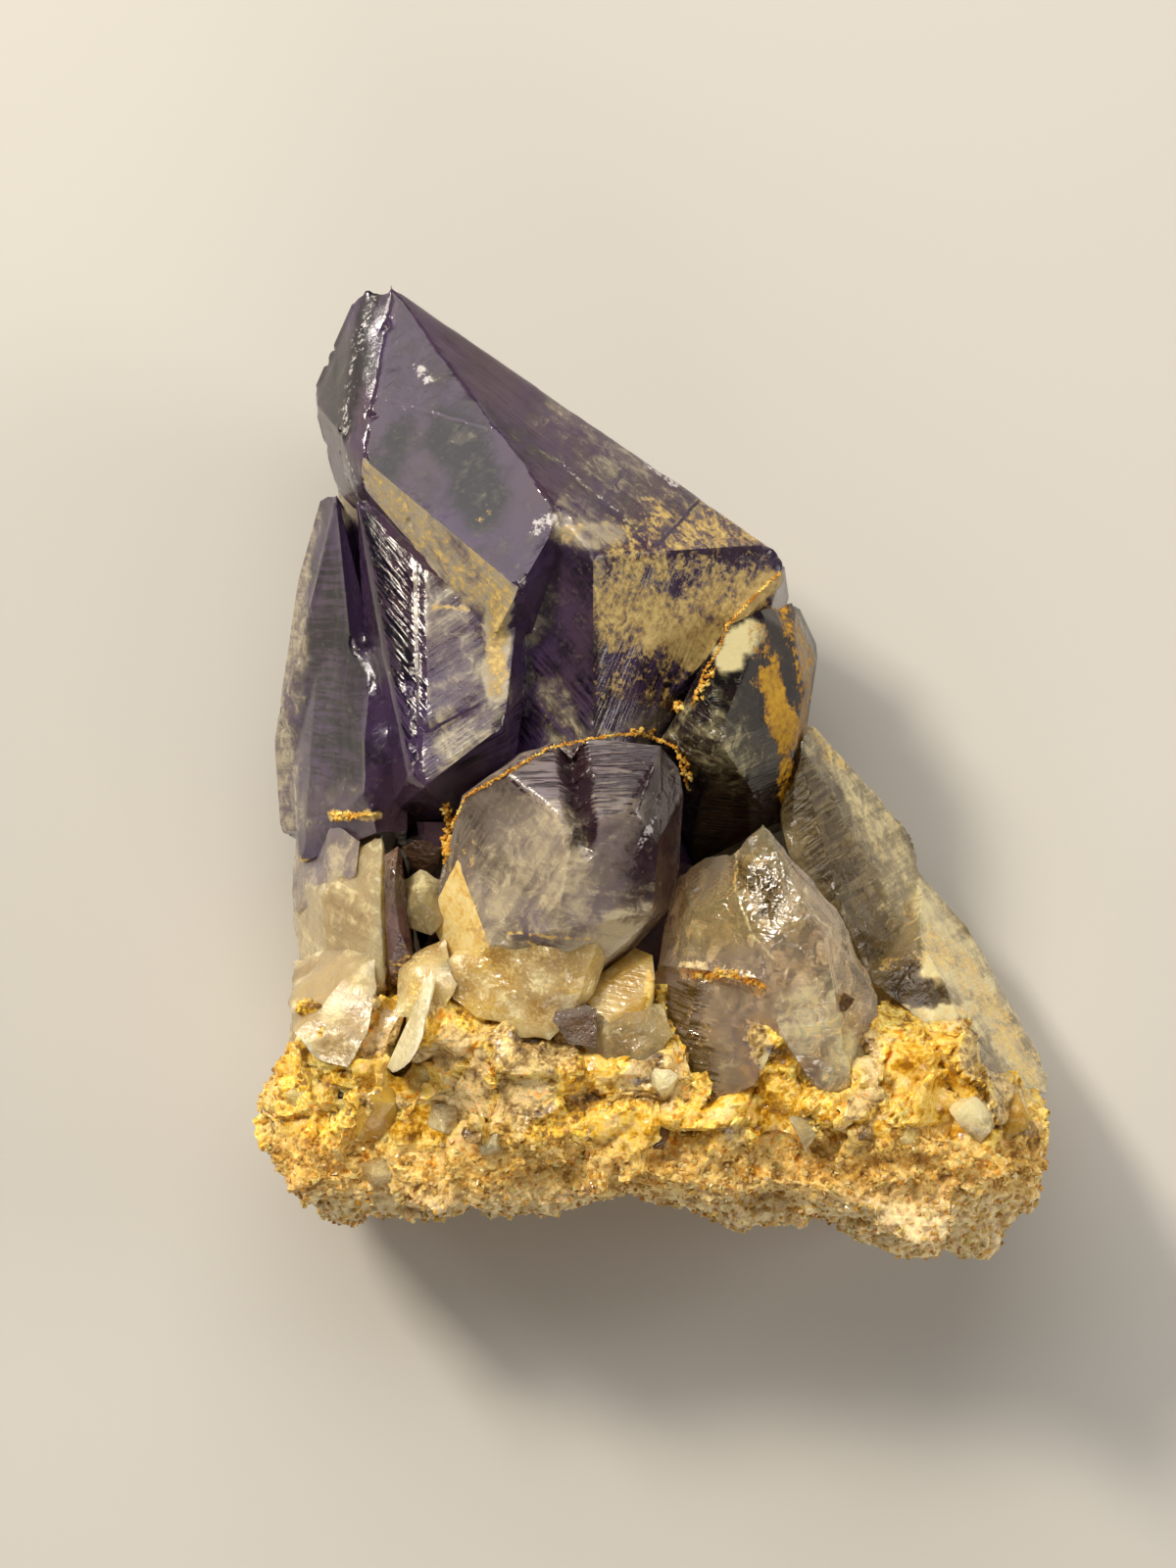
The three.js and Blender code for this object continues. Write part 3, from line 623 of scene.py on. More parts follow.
def limonite_rock():
    """Quartz sandstone cemented by limonite, freshly broken: chunks of glassy honey, grey and
    clear quartz bedded in bright ochre powder, over a sugary tan band, so the eye sees wet
    glints and soft depth between matt, sandy seams."""
    material, tree = new_material("limonite cemented quartz sandstone, broken")
    coords = add(tree, "ShaderNodeTexCoord", output="Object")
    cream, crack, sugar, glass, kind = (
        add(tree, "ShaderNodeAttribute", output="Fac", attribute_name=layer)
        for layer in ("cream", "crack", "sugar", "glass", "kind"))
    patches = clouds(tree, coords, 8 * MM, 4.0, 0.6, 0.6)
    mottle = clouds(tree, coords, 2.0 * MM, 4.0, 0.66, 0.3)
    fine = clouds(tree, coords, 0.7 * MM, 3.0, 0.7)
    hollow = add(tree, "ShaderNodeTexVoronoi", {"Vector": coords, "Scale": 1 / (0.75 * MM)})
    parts = add(tree, "ShaderNodeSeparateColor", {0: hollow.node.outputs["Color"]}).node.outputs

    # Ochre powder, and the sugary sandstone under it
    mixed = total(tree, 0.0, (patches, 0.35), (mottle, 0.4), (fine, 0.25))
    mixed = add(tree, "ShaderNodeMapRange", {0: mixed, 1: 0.28, 2: 0.72})
    gold = add(tree, "ShaderNodeValToRGB", {0: mixed}, stops=((0.02, "#7c5a1e"),
        (0.16, "#b88a24"), (0.3, "#eab838"), (0.46, "#fbd550"), (0.6, "#fdeea4"),
        (0.74, "#fbcf40"), (0.9, "#ee9f16")))
    tan = add(tree, "ShaderNodeValToRGB", {0: mixed}, stops=((0.02, "#9c6e30"),
        (0.16, "#c6923e"), (0.33, "#e4b454"), (0.52, "#f0c66a"), (0.68, "#f8da94"),
        (0.82, "#eebc54"), (0.95, "#de9a30")))
    stone = add(tree, "ShaderNodeMix", {0: sugar, 6: gold, 7: tan}, **COLOURS)
    stone = add(tree, "ShaderNodeMix", {0: cream, 6: stone, 7: "#f8eecb"}, **COLOURS)
    grainy = add(tree, "ShaderNodeMapRange", {0: parts["Green"], 3: 0.88, 4: 1.18})
    stone = add(tree, "ShaderNodeMix", {0: 1.0, 6: stone, 7: grainy}, blend_type="MULTIPLY",
        **COLOURS)
    # Glassy chunks: honey, grey or clear by turns, clouded inside
    depth = total(tree, 0.0, (fine, 0.2), (patches, 0.35), (mottle, 0.45))
    depth = add(tree, "ShaderNodeMapRange", {0: depth, 1: 0.2, 2: 0.8})
    honeyed = add(tree, "ShaderNodeValToRGB", {0: depth}, stops=((0.12, "#9a6410"),
        (0.35, "#d69e22"), (0.58, "#f6cc56"), (0.85, "#fdeca8")))
    clean = add(tree, "ShaderNodeValToRGB", {0: depth}, stops=((0.12, "#5c4626"),
        (0.35, "#a68654"), (0.58, "#dcc084"), (0.85, "#faeabc")))
    cleaner = add(tree, "ShaderNodeMapRange", {0: kind, 1: 0.5, 2: 0.62})
    lump = add(tree, "ShaderNodeMix", {0: cleaner, 6: honeyed, 7: clean}, **COLOURS)
    dusted = total(tree, 0.0, (fine, 0.5), (mottle, 0.5))
    dusted = add(tree, "ShaderNodeMapRange", {0: dusted, 1: 0.55, 2: 0.8, 3: 1.0, 4: 0.2})
    glassy = add(tree, "ShaderNodeMath", {0: glass, 1: dusted}, use_clamp=True, **TIMES)
    colour = add(tree, "ShaderNodeMix", {0: glassy, 6: stone, 7: lump}, **COLOURS)
    # Painted shade: the cracks between the small flats darken to brown.
    colour = add(tree, "ShaderNodeMix", {0: crack, 6: colour, 7: "#9a6c24"}, **COLOURS)
    rough = add(tree, "ShaderNodeMapRange", {0: parts["Blue"], 1: 0.5, 2: 0.95, 3: 0.85, 4: 0.25})
    rough = add(tree, "ShaderNodeMix", {0: glassy, 2: rough, 3: 0.08})
    sandy = total(tree, 0.0, (fine, 0.5), (hollow, -0.9))
    height = add(tree, "ShaderNodeMix", {0: glassy, 2: sandy,
        3: total(tree, 0.0, (mottle, 0.5))})
    relief = add(tree, "ShaderNodeBump", {"Height": height, "Strength": 0.7, "Distance": 0.3 * MM})
    return finished(material, colour, rough, {"IOR": 1.53, "Normal": relief,
        "Subsurface Weight": 0.3, "Subsurface Radius": (1.0, 0.75, 0.35),
        "Subsurface Scale": 1.5 * MM})


def iron_crumbs():
    """Crumbs of limonite: soft, matt and bright yellow-orange, caught along the seams."""
    material, tree = new_material("limonite crumbs, powdery")
    coords = add(tree, "ShaderNodeTexCoord", output="Object")
    mottle = add(tree, "ShaderNodeTexNoise", {"Vector": coords, "Scale": 1 / (1.5 * MM),
        "Detail": 3.0})
    colour = add(tree, "ShaderNodeValToRGB", {0: mottle}, stops=((0.35, "#b8741a"),
        (0.5, "#dba231"), (0.65, "#f3d97a")))
    return finished(material, colour, 0.8)


def quartz_grains():
    """Sugary grains of quartz, most honey or tan and some clear or rusty, all glassy."""
    material, tree = new_material("quartz sand grains, glassy")
    tint = add(tree, "ShaderNodeAttribute", output="Fac", attribute_name="tint")
    colour = add(tree, "ShaderNodeValToRGB", {0: tint}, stops=((0.0, "#b0863c"),
        (0.2, "#d6a84c"), (0.5, "#ebc66c"), (0.75, "#f6dc9c"), (0.9, "#ebba50"),
        (1.0, "#dc9c38")))
    rough = add(tree, "ShaderNodeMapRange", {0: tint, 3: 0.5, 4: 0.12})
    return finished(material, colour, rough, {"IOR": QUARTZ_IOR, "Transmission Weight": 0.25,
        "Subsurface Weight": 0.3, "Subsurface Scale": 1.0 * MM})


def healed_cracks():
    """Healed cracks inside quartz: pearly sheets that flash when they face the light."""
    material, _ = new_material("healed cracks in quartz, pearly")
    return finished(material, "#f4e6c2", 0.3, {"Specular IOR Level": 1.0})


dark_violet = quartz("amethyst, deep violet, natural faces", "#624a76", "#664e5e", "#180c22",
    "#b6aa90", 0.55, "#aa3fb3", 150.0, OLIVE, streaky=0.1, lines_height=0.3, cover=0.85)
near_black = quartz("amethyst, near black", "#2c1e2c", "#33241c", "#0a050c", "#dccf9c", 0.5,
    "#b8762e", 500.0, ORANGE, gloss=0.04, streaky=0.08, lines_height=0.4, cover=0.97)
mauve = quartz("amethyst, smoky mauve", "#aa98ac", "#b6a694", "#462c38", "#cfc0a0", 0.6, "#c09cae",
    22.0, glow=0.4, lines_height=0.5, streaky=0.08, wet=0.6, cover=0.8, flecked=0.2)
lilac = quartz("quartz, pale smoky lilac", "#fae6da", "#fae2a8", "#84703e", "#fdecb4", 0.85,
    "#f0dcb8", 6.0, gloss=0.01, glow=0.8, wet=2.0, streaky=0.04, cover=0.75, flecked=0.04,
    shine=0.9, pitted=0.06)
smoky = quartz("quartz, pale smoky", "#dccca0", "#d4bc88", "#76603e", "#fdeab2", 0.75, "#d5c69a",
    10.0, gloss=0.05, glow=0.6, wet=2.4, streaky=0.14, cover=0.7)
milky = quartz("quartz, milky", "#f0d8a4", "#e4c894", "#b0905c", "#fbeaba", 0.6, "#d9c598", 10.0,
    glow=0.8, wet=1.2, streaky=0.06, cover=0.6, flecked=0.05)
brown = quartz("quartz, dark purple brown", "#8a646c", "#8a684c", "#46282e", "#c8b090", 0.5,
    "#7d3340", 90.0, gloss=0.03, wet=4.0)
honey = quartz("quartz, honey stained", "#f2c456", "#e8b23e", "#b4842c", "#fbe8a4", 0.5, "#e6c060",
    30.0, glow=0.6, wet=3.0, streaky=0.1, cover=0.8)
foot = quartz("quartz, honey clear root", "#fae4a8", "#f6cc60", "#a67c3c", "#fdf0c0", 0.35,
    "#e8cc90", 10.0, gloss=0.02, glow=0.6, wet=3.5, streaky=0.3, cover=0.85, flecked=0.03,
    shine=0.8)
clear = quartz("quartz, clear", "#ecd8a0", "#dcc48c", "#97805c", "#fae6b0", 0.65, "#e0d2a4", 15.0,
    gloss=0.02, glow=0.5, wet=3.0, streaky=0.1)
smoke = quartz("quartz, smoky brown", "#8a6844", "#7a5630", "#3c2816", "#c3a060", 0.65, "#8a6644",
    50.0, gloss=0.02, wet=2.0, streaky=0.1)
blade_clear = quartz("quartz, clear blade", "#f4e4b4", "#ecd8a0", "#c8ac78", "#fcf2d0", 0.4,
    "#e0d4ae", 15.0, glow=0.5, streaky=0.1, wet=2.0)
rock_finish, crumb_finish = limonite_rock(), iron_crumbs()
grain_finish, crack_finish = quartz_grains(), healed_cracks()

# ------------------------------ crystals

# The main crystal's natural faces, by the way they look
TOP = (-0.04, 0.39, 0.92)
FAR_RIGHT = (0.46, 0.62, 0.64)
LOWER_RIGHT = (0.63, -0.10, 0.77)
DARK_STRIP = (-0.50, -0.11, 0.86)
BAND = (-0.58, -0.33, 0.75)
STEP = (-0.10, 0.19, 0.98)
SLOPE = (-0.42, 0.17, 0.89)
FLANK = (-0.88, 0.04, 0.47)

crystal("main_crystal", dark_violet, "amethyst", 1, chipped=0.2, axis=(-0.35, 0.9, 0.25),
    battered=[([(-29.1, 64.9), (-30.6, 59.5), (-31.8, 52.2), (-32.6, 44)], 2.5, 0.9)],
    grain=[(LOWER_RIGHT, (0.5, 0.85, 0.0)), (SLOPE, (0.7, -0.7, 0.0)), (BAND, (0.75, -0.65, 0.0)),
        (STEP, (0.8, 0.55, 0.0)), (FAR_RIGHT, (0.75, -0.65, 0.0))],
    veil=[([(-23.5, 58.7), (-16.8, 41.4), (-7.1, 30.8)], 16, 0.12, TOP),
        ([(-3.2, 33.2), (3.2, 32.9)], 3.5, 0.7),
        ([(-2, 44), (12, 34), (23, 30)], 11, 0.4, FAR_RIGHT, 0.8),
        ([(2.6, 24.6), (13, 20.9), (19, 24.9)], 10, 0.45, LOWER_RIGHT, 0.8),
        ([(-5, 12), (-3, 5), (8, 8)], 5, 0.45),
        ([(-29.2, 40.2), (-20.6, 32.9), (-10.3, 24.4)], 8, 0.8, BAND, 0.85),
        ([(-11.8, 25.2), (-12.1, 11.9)], 2.6, 1.2),
        ([(-20.7, 23.3), (-15, 15.5), (-16.7, 3.9)], 10, 0.5, STEP),
        ([(-39, 34), (-41.5, 13.3), (-41.5, -6)], 4.5, 0.6, FLANK, 0.6),
        ([(-39.9, -4), (-33.3, -2.3)], 6, 0.35, FLANK, 0.6)],
    tone=[([(-17.4, 45.7), (-14.5, 37.7)], 6, -0.7, TOP),
        ([(-24.4, 47.7), (-26.5, 42.7)], 4, -0.4, TOP), ([(-33, 57), (-34, 50)], 5, -0.4),
        ([(-29.1, 64.9), (-30.6, 59.5), (-31.8, 52.2), (-32.6, 46.9)], 2, -0.4),
        ([(-4.5, 25.8), (-3.2, 7.8)], 7, -0.1, DARK_STRIP),
        ([(-16, 48), (0, 40), (10, 36)], 5, -0.2, FAR_RIGHT),
        # Painted shade: a dark line where the band drops under the top face.
        ([(-27.5, 41.5), (-19.5, 35.4), (-11, 28.5)], 1.4, -1, BAND, 0.85),
        ([(-27.9, 31.2), (-25.9, 15.5), (-25.9, 5.2)], 5, -0.25, SLOPE),
        ([(-33, 26), (-33, 4)], 6, -0.3, FLANK, 0.6)],
    bruise=[([(-22.6, 55.4), (-21.3, 53.8)], 1.3, 0.8, TOP),
        ([(-6.7, 34.1), (-4.6, 35)], 1.6, 0.7),
        # The next two marks lie on the chipped bevel: partly bruised edge, partly a painted
        # highlight.
        ([(-29.1, 64.9), (-30.6, 59.5), (-31.8, 52.2), (-32.6, 46.9)], 1.3, 0.42),
        ([(-32.6, 44.1), (-31.1, 39.4)], 1.3, 0.4),
        ([(-3.2, 42.1), (5.2, 35), (12.9, 27.3)], 0.4, 0.55, FAR_RIGHT),
        ([(7.9, 43.3), (11.5, 40.3)], 1.2, 0.7),
        # Painted highlight: a thin glint line down the left edge of the step.
        ([(-23.1, 16.5), (-23.1, 7.7), (-22.9, 1.9)], 0.7, 0.35),
        ([(-28.1, 24.4), (-23, 19.4)], 0.4, 0.4), ([(-30.3, 18), (-24, 12.9)], 0.4, 0.4)],
    rust=[
        ([(-15.9, 36.1), (-15.2, 35), (-14.2, 34.8), (-12.9, 35.4), (-13.2, 36.7)], 0.7, 0.5, TOP),
        ([(-3.2, 33.2), (3.2, 32.9)], 3, 0.4),
        ([(9.2, 30.7), (14.1, 32.9), (22.3, 28.8)], 13, 0.55, FAR_RIGHT, 0.8),
        ([(15, 32), (23, 29)], 4, 0.4),
        ([(4, 23.6), (13, 20.9), (19, 24.9)], 10, 0.72, LOWER_RIGHT, 0.8),
        ([(9, 19.6), (15, 19)], 6, 0.95, LOWER_RIGHT, 0.8),
        ([(4, 29), (13, 27.5), (22.5, 27)], 6, 0.58),
        ([(3.2, 14.2), (12, 13.3)], 8, 0.42, LOWER_RIGHT, 0.8), ([(-5, 12), (-3, 5)], 4, 0.35),
        ([(-29.2, 40.2), (-20.6, 32.9), (-10.3, 24.4)], 7, 0.5, BAND, 0.85),
        ([(-11.8, 25.2), (-12.1, 11.9)], 2.4, 0.7),
        ([(-22.6, 22.2), (-19.4, 23.5), (-15.8, 23)], 0.6, 0.7, STEP),
        ([(-34.5, -4.2), (-27.9, -4.2)], 1.1, 1), ([(-39.5, -11), (-32.7, -10.7)], 1.6, 1),
        ([(18.4, 18.8), (22.3, 24.7), (25, 27.7)], 2.2, 1)],
    lined=[([(-36, 30), (-36, -6)], 9, 0.35, FLANK, 0.6),
        ([(-27.9, 31.2), (-25.9, 5.2)], 8, 0.6, SLOPE), ([(-6, 10), (4, 8), (12, 12)], 8, 0.5),
        ([(-16, 6), (-8, 8)], 6, 0.5), ([(-29, 40), (-10, 24)], 6, 0.3, BAND)])
crystal("right_crystal", near_black, "dark_amethyst", 2, axis=(0.2, 0.8, 0.5),
    rust=[([(24.2, 14), (25.2, 10.5), (26.3, 7.2)], 3.4, 1), ([(22.6, 20), (23.8, 17)], 3, 0.55),
        ([(26, 6.2), (26.6, -2)], 2.2, 0.7), ([(18.2, 16.8), (21.4, 20)], 3, 0.25),
        ([(25, 25), (29.3, 16), (28.8, 3)], 3.8, 0.6)],
    # Both marks here are painted reflections: the pale top facet, and the grey sheen on the
    # striated facet by the apex.
    veil=[([(18.2, 16.8), (21.4, 20)], 3, 1), ([(11, 9), (19, 4)], 7, 0.42)],
    lined=[([(11, 9), (20, 3)], 9, 0.9)],
    # Painted reflection: the striated facet by the apex is lightened.
    tone=[([(12, 9), (17, 6)], 4, 0.5)],
    # Painted glints: thin pale lines on the dark faces by the apex.
    bruise=[([(9.5, 8), (13, 4), (16.8, 7.2)], 0.35, 0.6)])
FAR_FACE = (0.03, 0.45, 0.89)
LEFT_FACE = (-0.73, -0.27, 0.63)
crystal("front_crystal", mauve, "front_amethyst", 3, axis=(0.0, -1.0, 0.3), dusty=0.7,
    grooves=[([(-2.4, 6.5), (-1.5, 0.0), (-0.8, -8)], 2.2, 2.6)],
    grain=[(FAR_FACE, (1.0, 0.05, 0.0)), (LEFT_FACE, (0.65, 0.75, 0.0))],
    veil=[([(-14.5, -25.9), (-5.1, -26.8), (3.6, -22.5)], 12, 0.85),
        ([(-12.5, -15), (-7, -9), (-3, -16)], 11, 0.62),
        ([(-18.7, -8.3), (-16.1, -20.6), (-12.9, -27.9)], 9, 1, LEFT_FACE),
        ([(-2.6, -14.7), (0.6, -9.2), (3.8, -6.4), (11.5, 2.3)], 0.5, 0.45)],
    rust=[([(-14, -28), (-5.1, -29.8), (1.6, -26.5)], 7, 0.5),
        ([(-18.7, -10.3), (-17.1, -20.6), (-12.9, -27.9)], 8, 0.95, LEFT_FACE),
        ([(-10.4, -19.4), (-5.1, -19.9), (1.3, -20.5)], 0.5, 0.6),
        ([(-7.9, -20.5), (-1.9, -24.6)], 0.45, 0.7)],
    lined=[([(-18.7, -8.3), (-16.1, -20.6), (-12.9, -27.9)], 9, 0.9, LEFT_FACE),
        ([(-12, 2), (-2, 3), (8, 1)], 9, 1, FAR_FACE)],
    tone=[([(1, 4), (9, 2)], 9, -0.6, FAR_FACE), ([(-14, 0), (-5, 3)], 7, -0.15, FAR_FACE),
        ([(9.9, 3), (9.5, -8), (6, -18.6)], 5.5, -0.6),
        # The first mark here darkens the groove: painted shade.
        ([(-2.2, 5.1), (-1.3, 0), (-1, -8)], 2.6, -1.4), ([(-12, -11), (-9, -13)], 3, -0.4),
        ([(-5, -16), (-3, -19)], 2.5, -0.35), ([(-11, -21.8), (-2, -22.2)], 2.6, -0.35)],
    bruise=[([(6.6, -8.5), (8.8, -4.5)], 0.9, 0.6)])
crystal("lilac_crystals", lilac, "lilac_quartz", 4, axis=(0.1, 1.0, 0.2), depth=0.4, broken=0.25,
    dusty=0.15, base={"tone": 0.4},
    lined=[([(13, -29), (17, -41)], 6, 0.6)],
    tone=[([(12, -29), (14, -39)], 5, -0.8),
        ([(24.4, -23.1), (25.7, -27.6), (26.3, -32.4)], 1.2, -0.4),
        ([(20.8, -10.5), (23.5, -15)], 3, -0.9), ([(14, -12), (15, -20)], 5, 0.2),
        ([(27, -21), (29, -27)], 4, -0.25)],
    # Both marks on this line are painted highlights: bright streaks on the dark lower body.
    bruise=[([(11.4, -33.5), (14.6, -29)], 0.45, 0.5), ([(12.4, -36.5), (14.8, -33)], 0.45, 0.4),
        ([(24, -21.2), (28.9, -17)], 0.4, 0.7)],
    rust=[([(22, -33), (24.5, -40)], 3.5, 0.7), ([(13, -31), (16, -41)], 6, 0.34),
        ([(13, -24.4), (18, -24.4), (22.5, -26.5)], 2.2, 0.6),
        ([(19.5, -8.4), (19.3, -13.7)], 0.6, 0.5), ([(33.5, -26), (35.5, -33)], 3.5, 0.42),
        ([(29, -30.3), (33.7, -42)], 7, 0.42)],
    veil=[([(17.5, -27), (18.5, -38)], 4, 0.35),
        ([(19.5, -8.4), (19.3, -13.7), (21.2, -19.5), (24.4, -23.1)], 0.5, 0.55),
        ([(28.3, -13.5), (29.2, -16.7), (31.5, -18.9), (32.4, -23.1)], 0.5, 0.5),
        ([(29.7, -30.3), (34.7, -39)], 9, 0.6)])
crystal("smoky_crystals", smoky, "smoky_quartz", 5, axis=(0.6, -0.8, 0.1), depth=0.35, broken=0.2,
    dusty=0.3,
    veil=[([(31, 8), (37, -1), (42, -10), (48, -20)], 5, 0.52), ([(38, -6), (41, -17)], 5, 0.35),
        ([(46, -24.6), (54.3, -27.6)], 2.6, 1), ([(41.5, -31), (51.8, -30.2)], 1.8, 1),
        ([(48, -18), (54, -30), (59, -38), (62, -45.7)], 8, 0.68)],
    lined=[([(30, 5), (36, -10)], 8, 0.5), ([(48, -18), (54, -30), (60, -45)], 8, 0.35)],
    tone=[([(30.2, 2), (34.1, -13.1), (38, -18)], 6, -0.4), ([(42, -26.6), (46, -27)], 4, -1),
        ([(50, -33.6), (51, -39)], 3.8, -1)],
    rust=[([(43.3, -17), (44, -23.4)], 1.6, 0.42), ([(39.2, -24.2), (45, -23.4)], 2, 0.42),
        ([(41.5, -31), (51.8, -30.2)], 1.4, 0.5),
        ([(47, -22), (53, -28), (59, -36.9), (60.1, -45.7)], 4, 0.5),
        ([(30.4, 8), (34, 3)], 3, 0.5)])
crystal("milky_crystals", milky, "milky_quartz", 6, base={"veil": 0.45}, depth=0.35, broken=0.12,
    dusty=0.2,
    tone=[([(-33, -12), (-32, -24)], 5, -0.2)])
crystal("dark_splinter", brown, "dark_quartz", 7, dusty=0.5)
crystal("brown_chip", brown, "brown_quartz", 8)
crystal("wedge_crystal", honey, "yellow_quartz", 9, base={"veil": 0.35}, dusty=0.2,
    rust=[([(-1.5, -29), (6, -33)], 0.5, 0.9), ([(8, -25), (8.5, -33)], 1.2, 0.8)])
crystal("clear_blade", blade_clear, "clear_quartz", 10, base={"veil": 0.5})

# ------------------------------ rock


def heights(columns, rows):
    """Heights of the cluster over a grid, 0 where there is none."""
    return np.array([[height_at(x, y) or 0.0 for x in columns] for y in rows])


def soften(grid, reach):
    """A grid blurred over `reach` millimetres."""
    offsets = np.arange(-2.5 * reach, 2.5 * reach + CRUST_SPACING, CRUST_SPACING)
    weights = np.exp(-0.5 * (offsets / reach) ** 2)
    weights = weights / weights.sum()
    for axis in (0, 1):
        grid = np.apply_along_axis(lambda row: np.convolve(row, weights, "same"), axis, grid)
    return grid


def filled(grid, reach):
    """A grid whose notches narrower than twice `reach` millimetres are filled level."""
    cells = int(reach / CRUST_SPACING)
    span = range(-cells, cells + 1)
    offsets = [(i, j) for i in span for j in span if i * i + j * j <= cells * cells]
    for pick in (np.max, np.min):
        grid = pick([np.roll(grid, offset, (0, 1)) for offset in offsets], axis=0)
    return grid


def rock():
    """The rock bar: chunks of broken quartz bedded in ochre, above a band of sugary grain
    with a paler broken rim."""
    bm = natural_faces("rock_matrix")
    bmesh.ops.triangulate(bm, faces=bm.faces)
    block = link("rock_block", plain("rock_matrix", bm))
    remesh = block.modifiers.new("even", "REMESH")
    remesh.mode = "VOXEL"
    remesh.voxel_size = ROCK_SPACING * MM
    even = baked(block)
    points, normals = to_drawing(read(even, "co")), read(even, "normal")
    rim = smooth(-points[:, 1], 52.0, 57.0) * smooth(points[:, 2], 22.0, 32.0)
    sugar = smooth(-points[:, 1] + 3 * wave(points, 8, 43), 43.5, 49.0)
    sugar = np.maximum(sugar, 1 - smooth(points[:, 2], 20.0, 28.0))
    height, layers = broken_rock(points, sugar)
    height = height * smooth(points[:, 2], 0.3, 2.5)
    points = move_to(even, to_frame(points + normals * height[:, None]))
    even.update()
    shade(even, ROCK_SHARP)
    layers["cream"] = 0.5 * rim
    layers["grains"] = layers["grains"] * smooth(to_drawing(points)[:, 2], 3.0, 9.0)
    store(even, "POINT", **layers)
    return new_piece("rock_matrix_stone", even, rock_finish, "ochre_rock", "rock_matrix")


def broken_rock(points, sugar):
    """How the rock's skin stands in and out, and the layers that its finish reads: chunks of
    glassy quartz away from their borders, ochre in the seams between them, and painted shade
    in the cracks between the small flats."""
    warped = points + 1.6 * waves(points, 4.0, 45)
    broad, border, kind = flats(warped, 8.0, 31)
    small, small_border, small_kind = flats(warped, 3.0, 37)
    tiny = flats(points, 1.4, 39)[0]
    glass = (1 - sugar) * smooth(kind, 0.22, 0.3)
    glass = glass * smooth(border + 0.8 * wave(points, 1.6, 47), 0.1, 0.9)
    height = (0.7 + 0.9 * (1 - sugar)) * broad + 0.5 * small - 0.5
    height = height - 0.35 * (1 - sugar) * (1 - smooth(border, 0.0, 0.8))
    height = height + 0.3 * tiny * (1 - 0.7 * glass)
    # Painted shade: the cracks between the small flats are darkened in the finish.
    crack = 0.6 * (1 - smooth(small_border, 0.0, 0.35)) * (1 - glass)
    grains = (1 - glass) * (0.3 + 0.7 * sugar)
    kind = 0.75 * kind + 0.25 * small_kind
    return height, dict(sugar=sugar, glass=glass, grains=grains, crack=crack, kind=kind)


def crust():
    """The ochre crust, with chunks of quartz in it, that creeps from the rock over the feet
    of the crystals: a skin draped over them, which dips below their faces where it ends."""
    columns = np.arange(-53.0, 62.0, CRUST_SPACING)
    rows = np.arange(-47.0, -17.0, CRUST_SPACING)
    under = soften(filled(heights(columns, rows), 4.0), 0.9)
    x, y = np.meshgrid(columns, rows)
    points = np.stack([x.ravel(), y.ravel(), under.ravel()], axis=1)
    tongues = [([(-20, -32), (-15, -33), (-10, -36), (-5, -37.5)], 4.5),
        ([(-1, -37), (4, -37.5), (10, -37)], 4.0), ([(11, -43.5), (15, -44.5), (20, -43)], 3.0),
        ([(22.5, -33), (24, -37), (27, -41)], 3.8), ([(30, -42.5), (35, -43)], 3.4),
        ([(41.5, -34.5), (42, -43)], 6.2), ([(47, -34), (50, -38), (54, -44)], 3.4)]
    thick = np.max([stroke(points, path, width, 61) for path, width in tongues], axis=0)
    height, layers = broken_rock(points, np.zeros(len(points)))
    points[:, 2] += 2.8 * thick - 1.9 + 0.8 * height + 0.5 * wave(points, 2.0, 63)
    kept = (thick.reshape(x.shape) > 0.12) & (under > 14.0)
    points[~kept.ravel(), 2] -= 1.0
    number = np.arange(x.size).reshape(x.shape)
    squares = kept[:-1, :-1] | kept[1:, 1:] | kept[1:, :-1] | kept[:-1, 1:]
    a, b = number[:-1, :-1][squares], number[:-1, 1:][squares]
    c, d = number[1:, 1:][squares], number[1:, :-1][squares]
    top = np.concatenate([np.stack([a, b, c], axis=1), np.stack([a, c, d], axis=1)])
    # The underside closes the skin, and a wall joins the two along the open border.
    sides = sides_of(top)
    _, first, times = np.unique(np.sort(sides, axis=1), axis=0, return_index=True,
        return_counts=True)
    e, f = sides[first[times == 1]].T
    shift = x.size
    triangles = np.concatenate([top, top[:, ::-1] + shift, np.stack([f, e, e + shift], axis=1),
        np.stack([f, e + shift, f + shift], axis=1)])
    used, triangles = np.unique(triangles, return_inverse=True)
    triangles = triangles.reshape(-1, 3)
    points = np.concatenate([points, points - (0.0, 0.0, 3.0)])[used]
    mesh = new_mesh("crystal_foot_crust", points, triangles, ROCK_SHARP)
    layers["cream"] = np.zeros(x.size)
    layers["grains"] = layers["grains"] * smooth(thick, 0.4, 0.7)
    store(mesh, "POINT", **{name: np.concatenate([values, values])[used]
        for name, values in layers.items()})
    return new_piece("crystal_foot_crust", mesh, rock_finish, "ochre_rock")


rock_piece = rock()
crust_piece = crust()

# ------------------------------ small quartz and crumbs


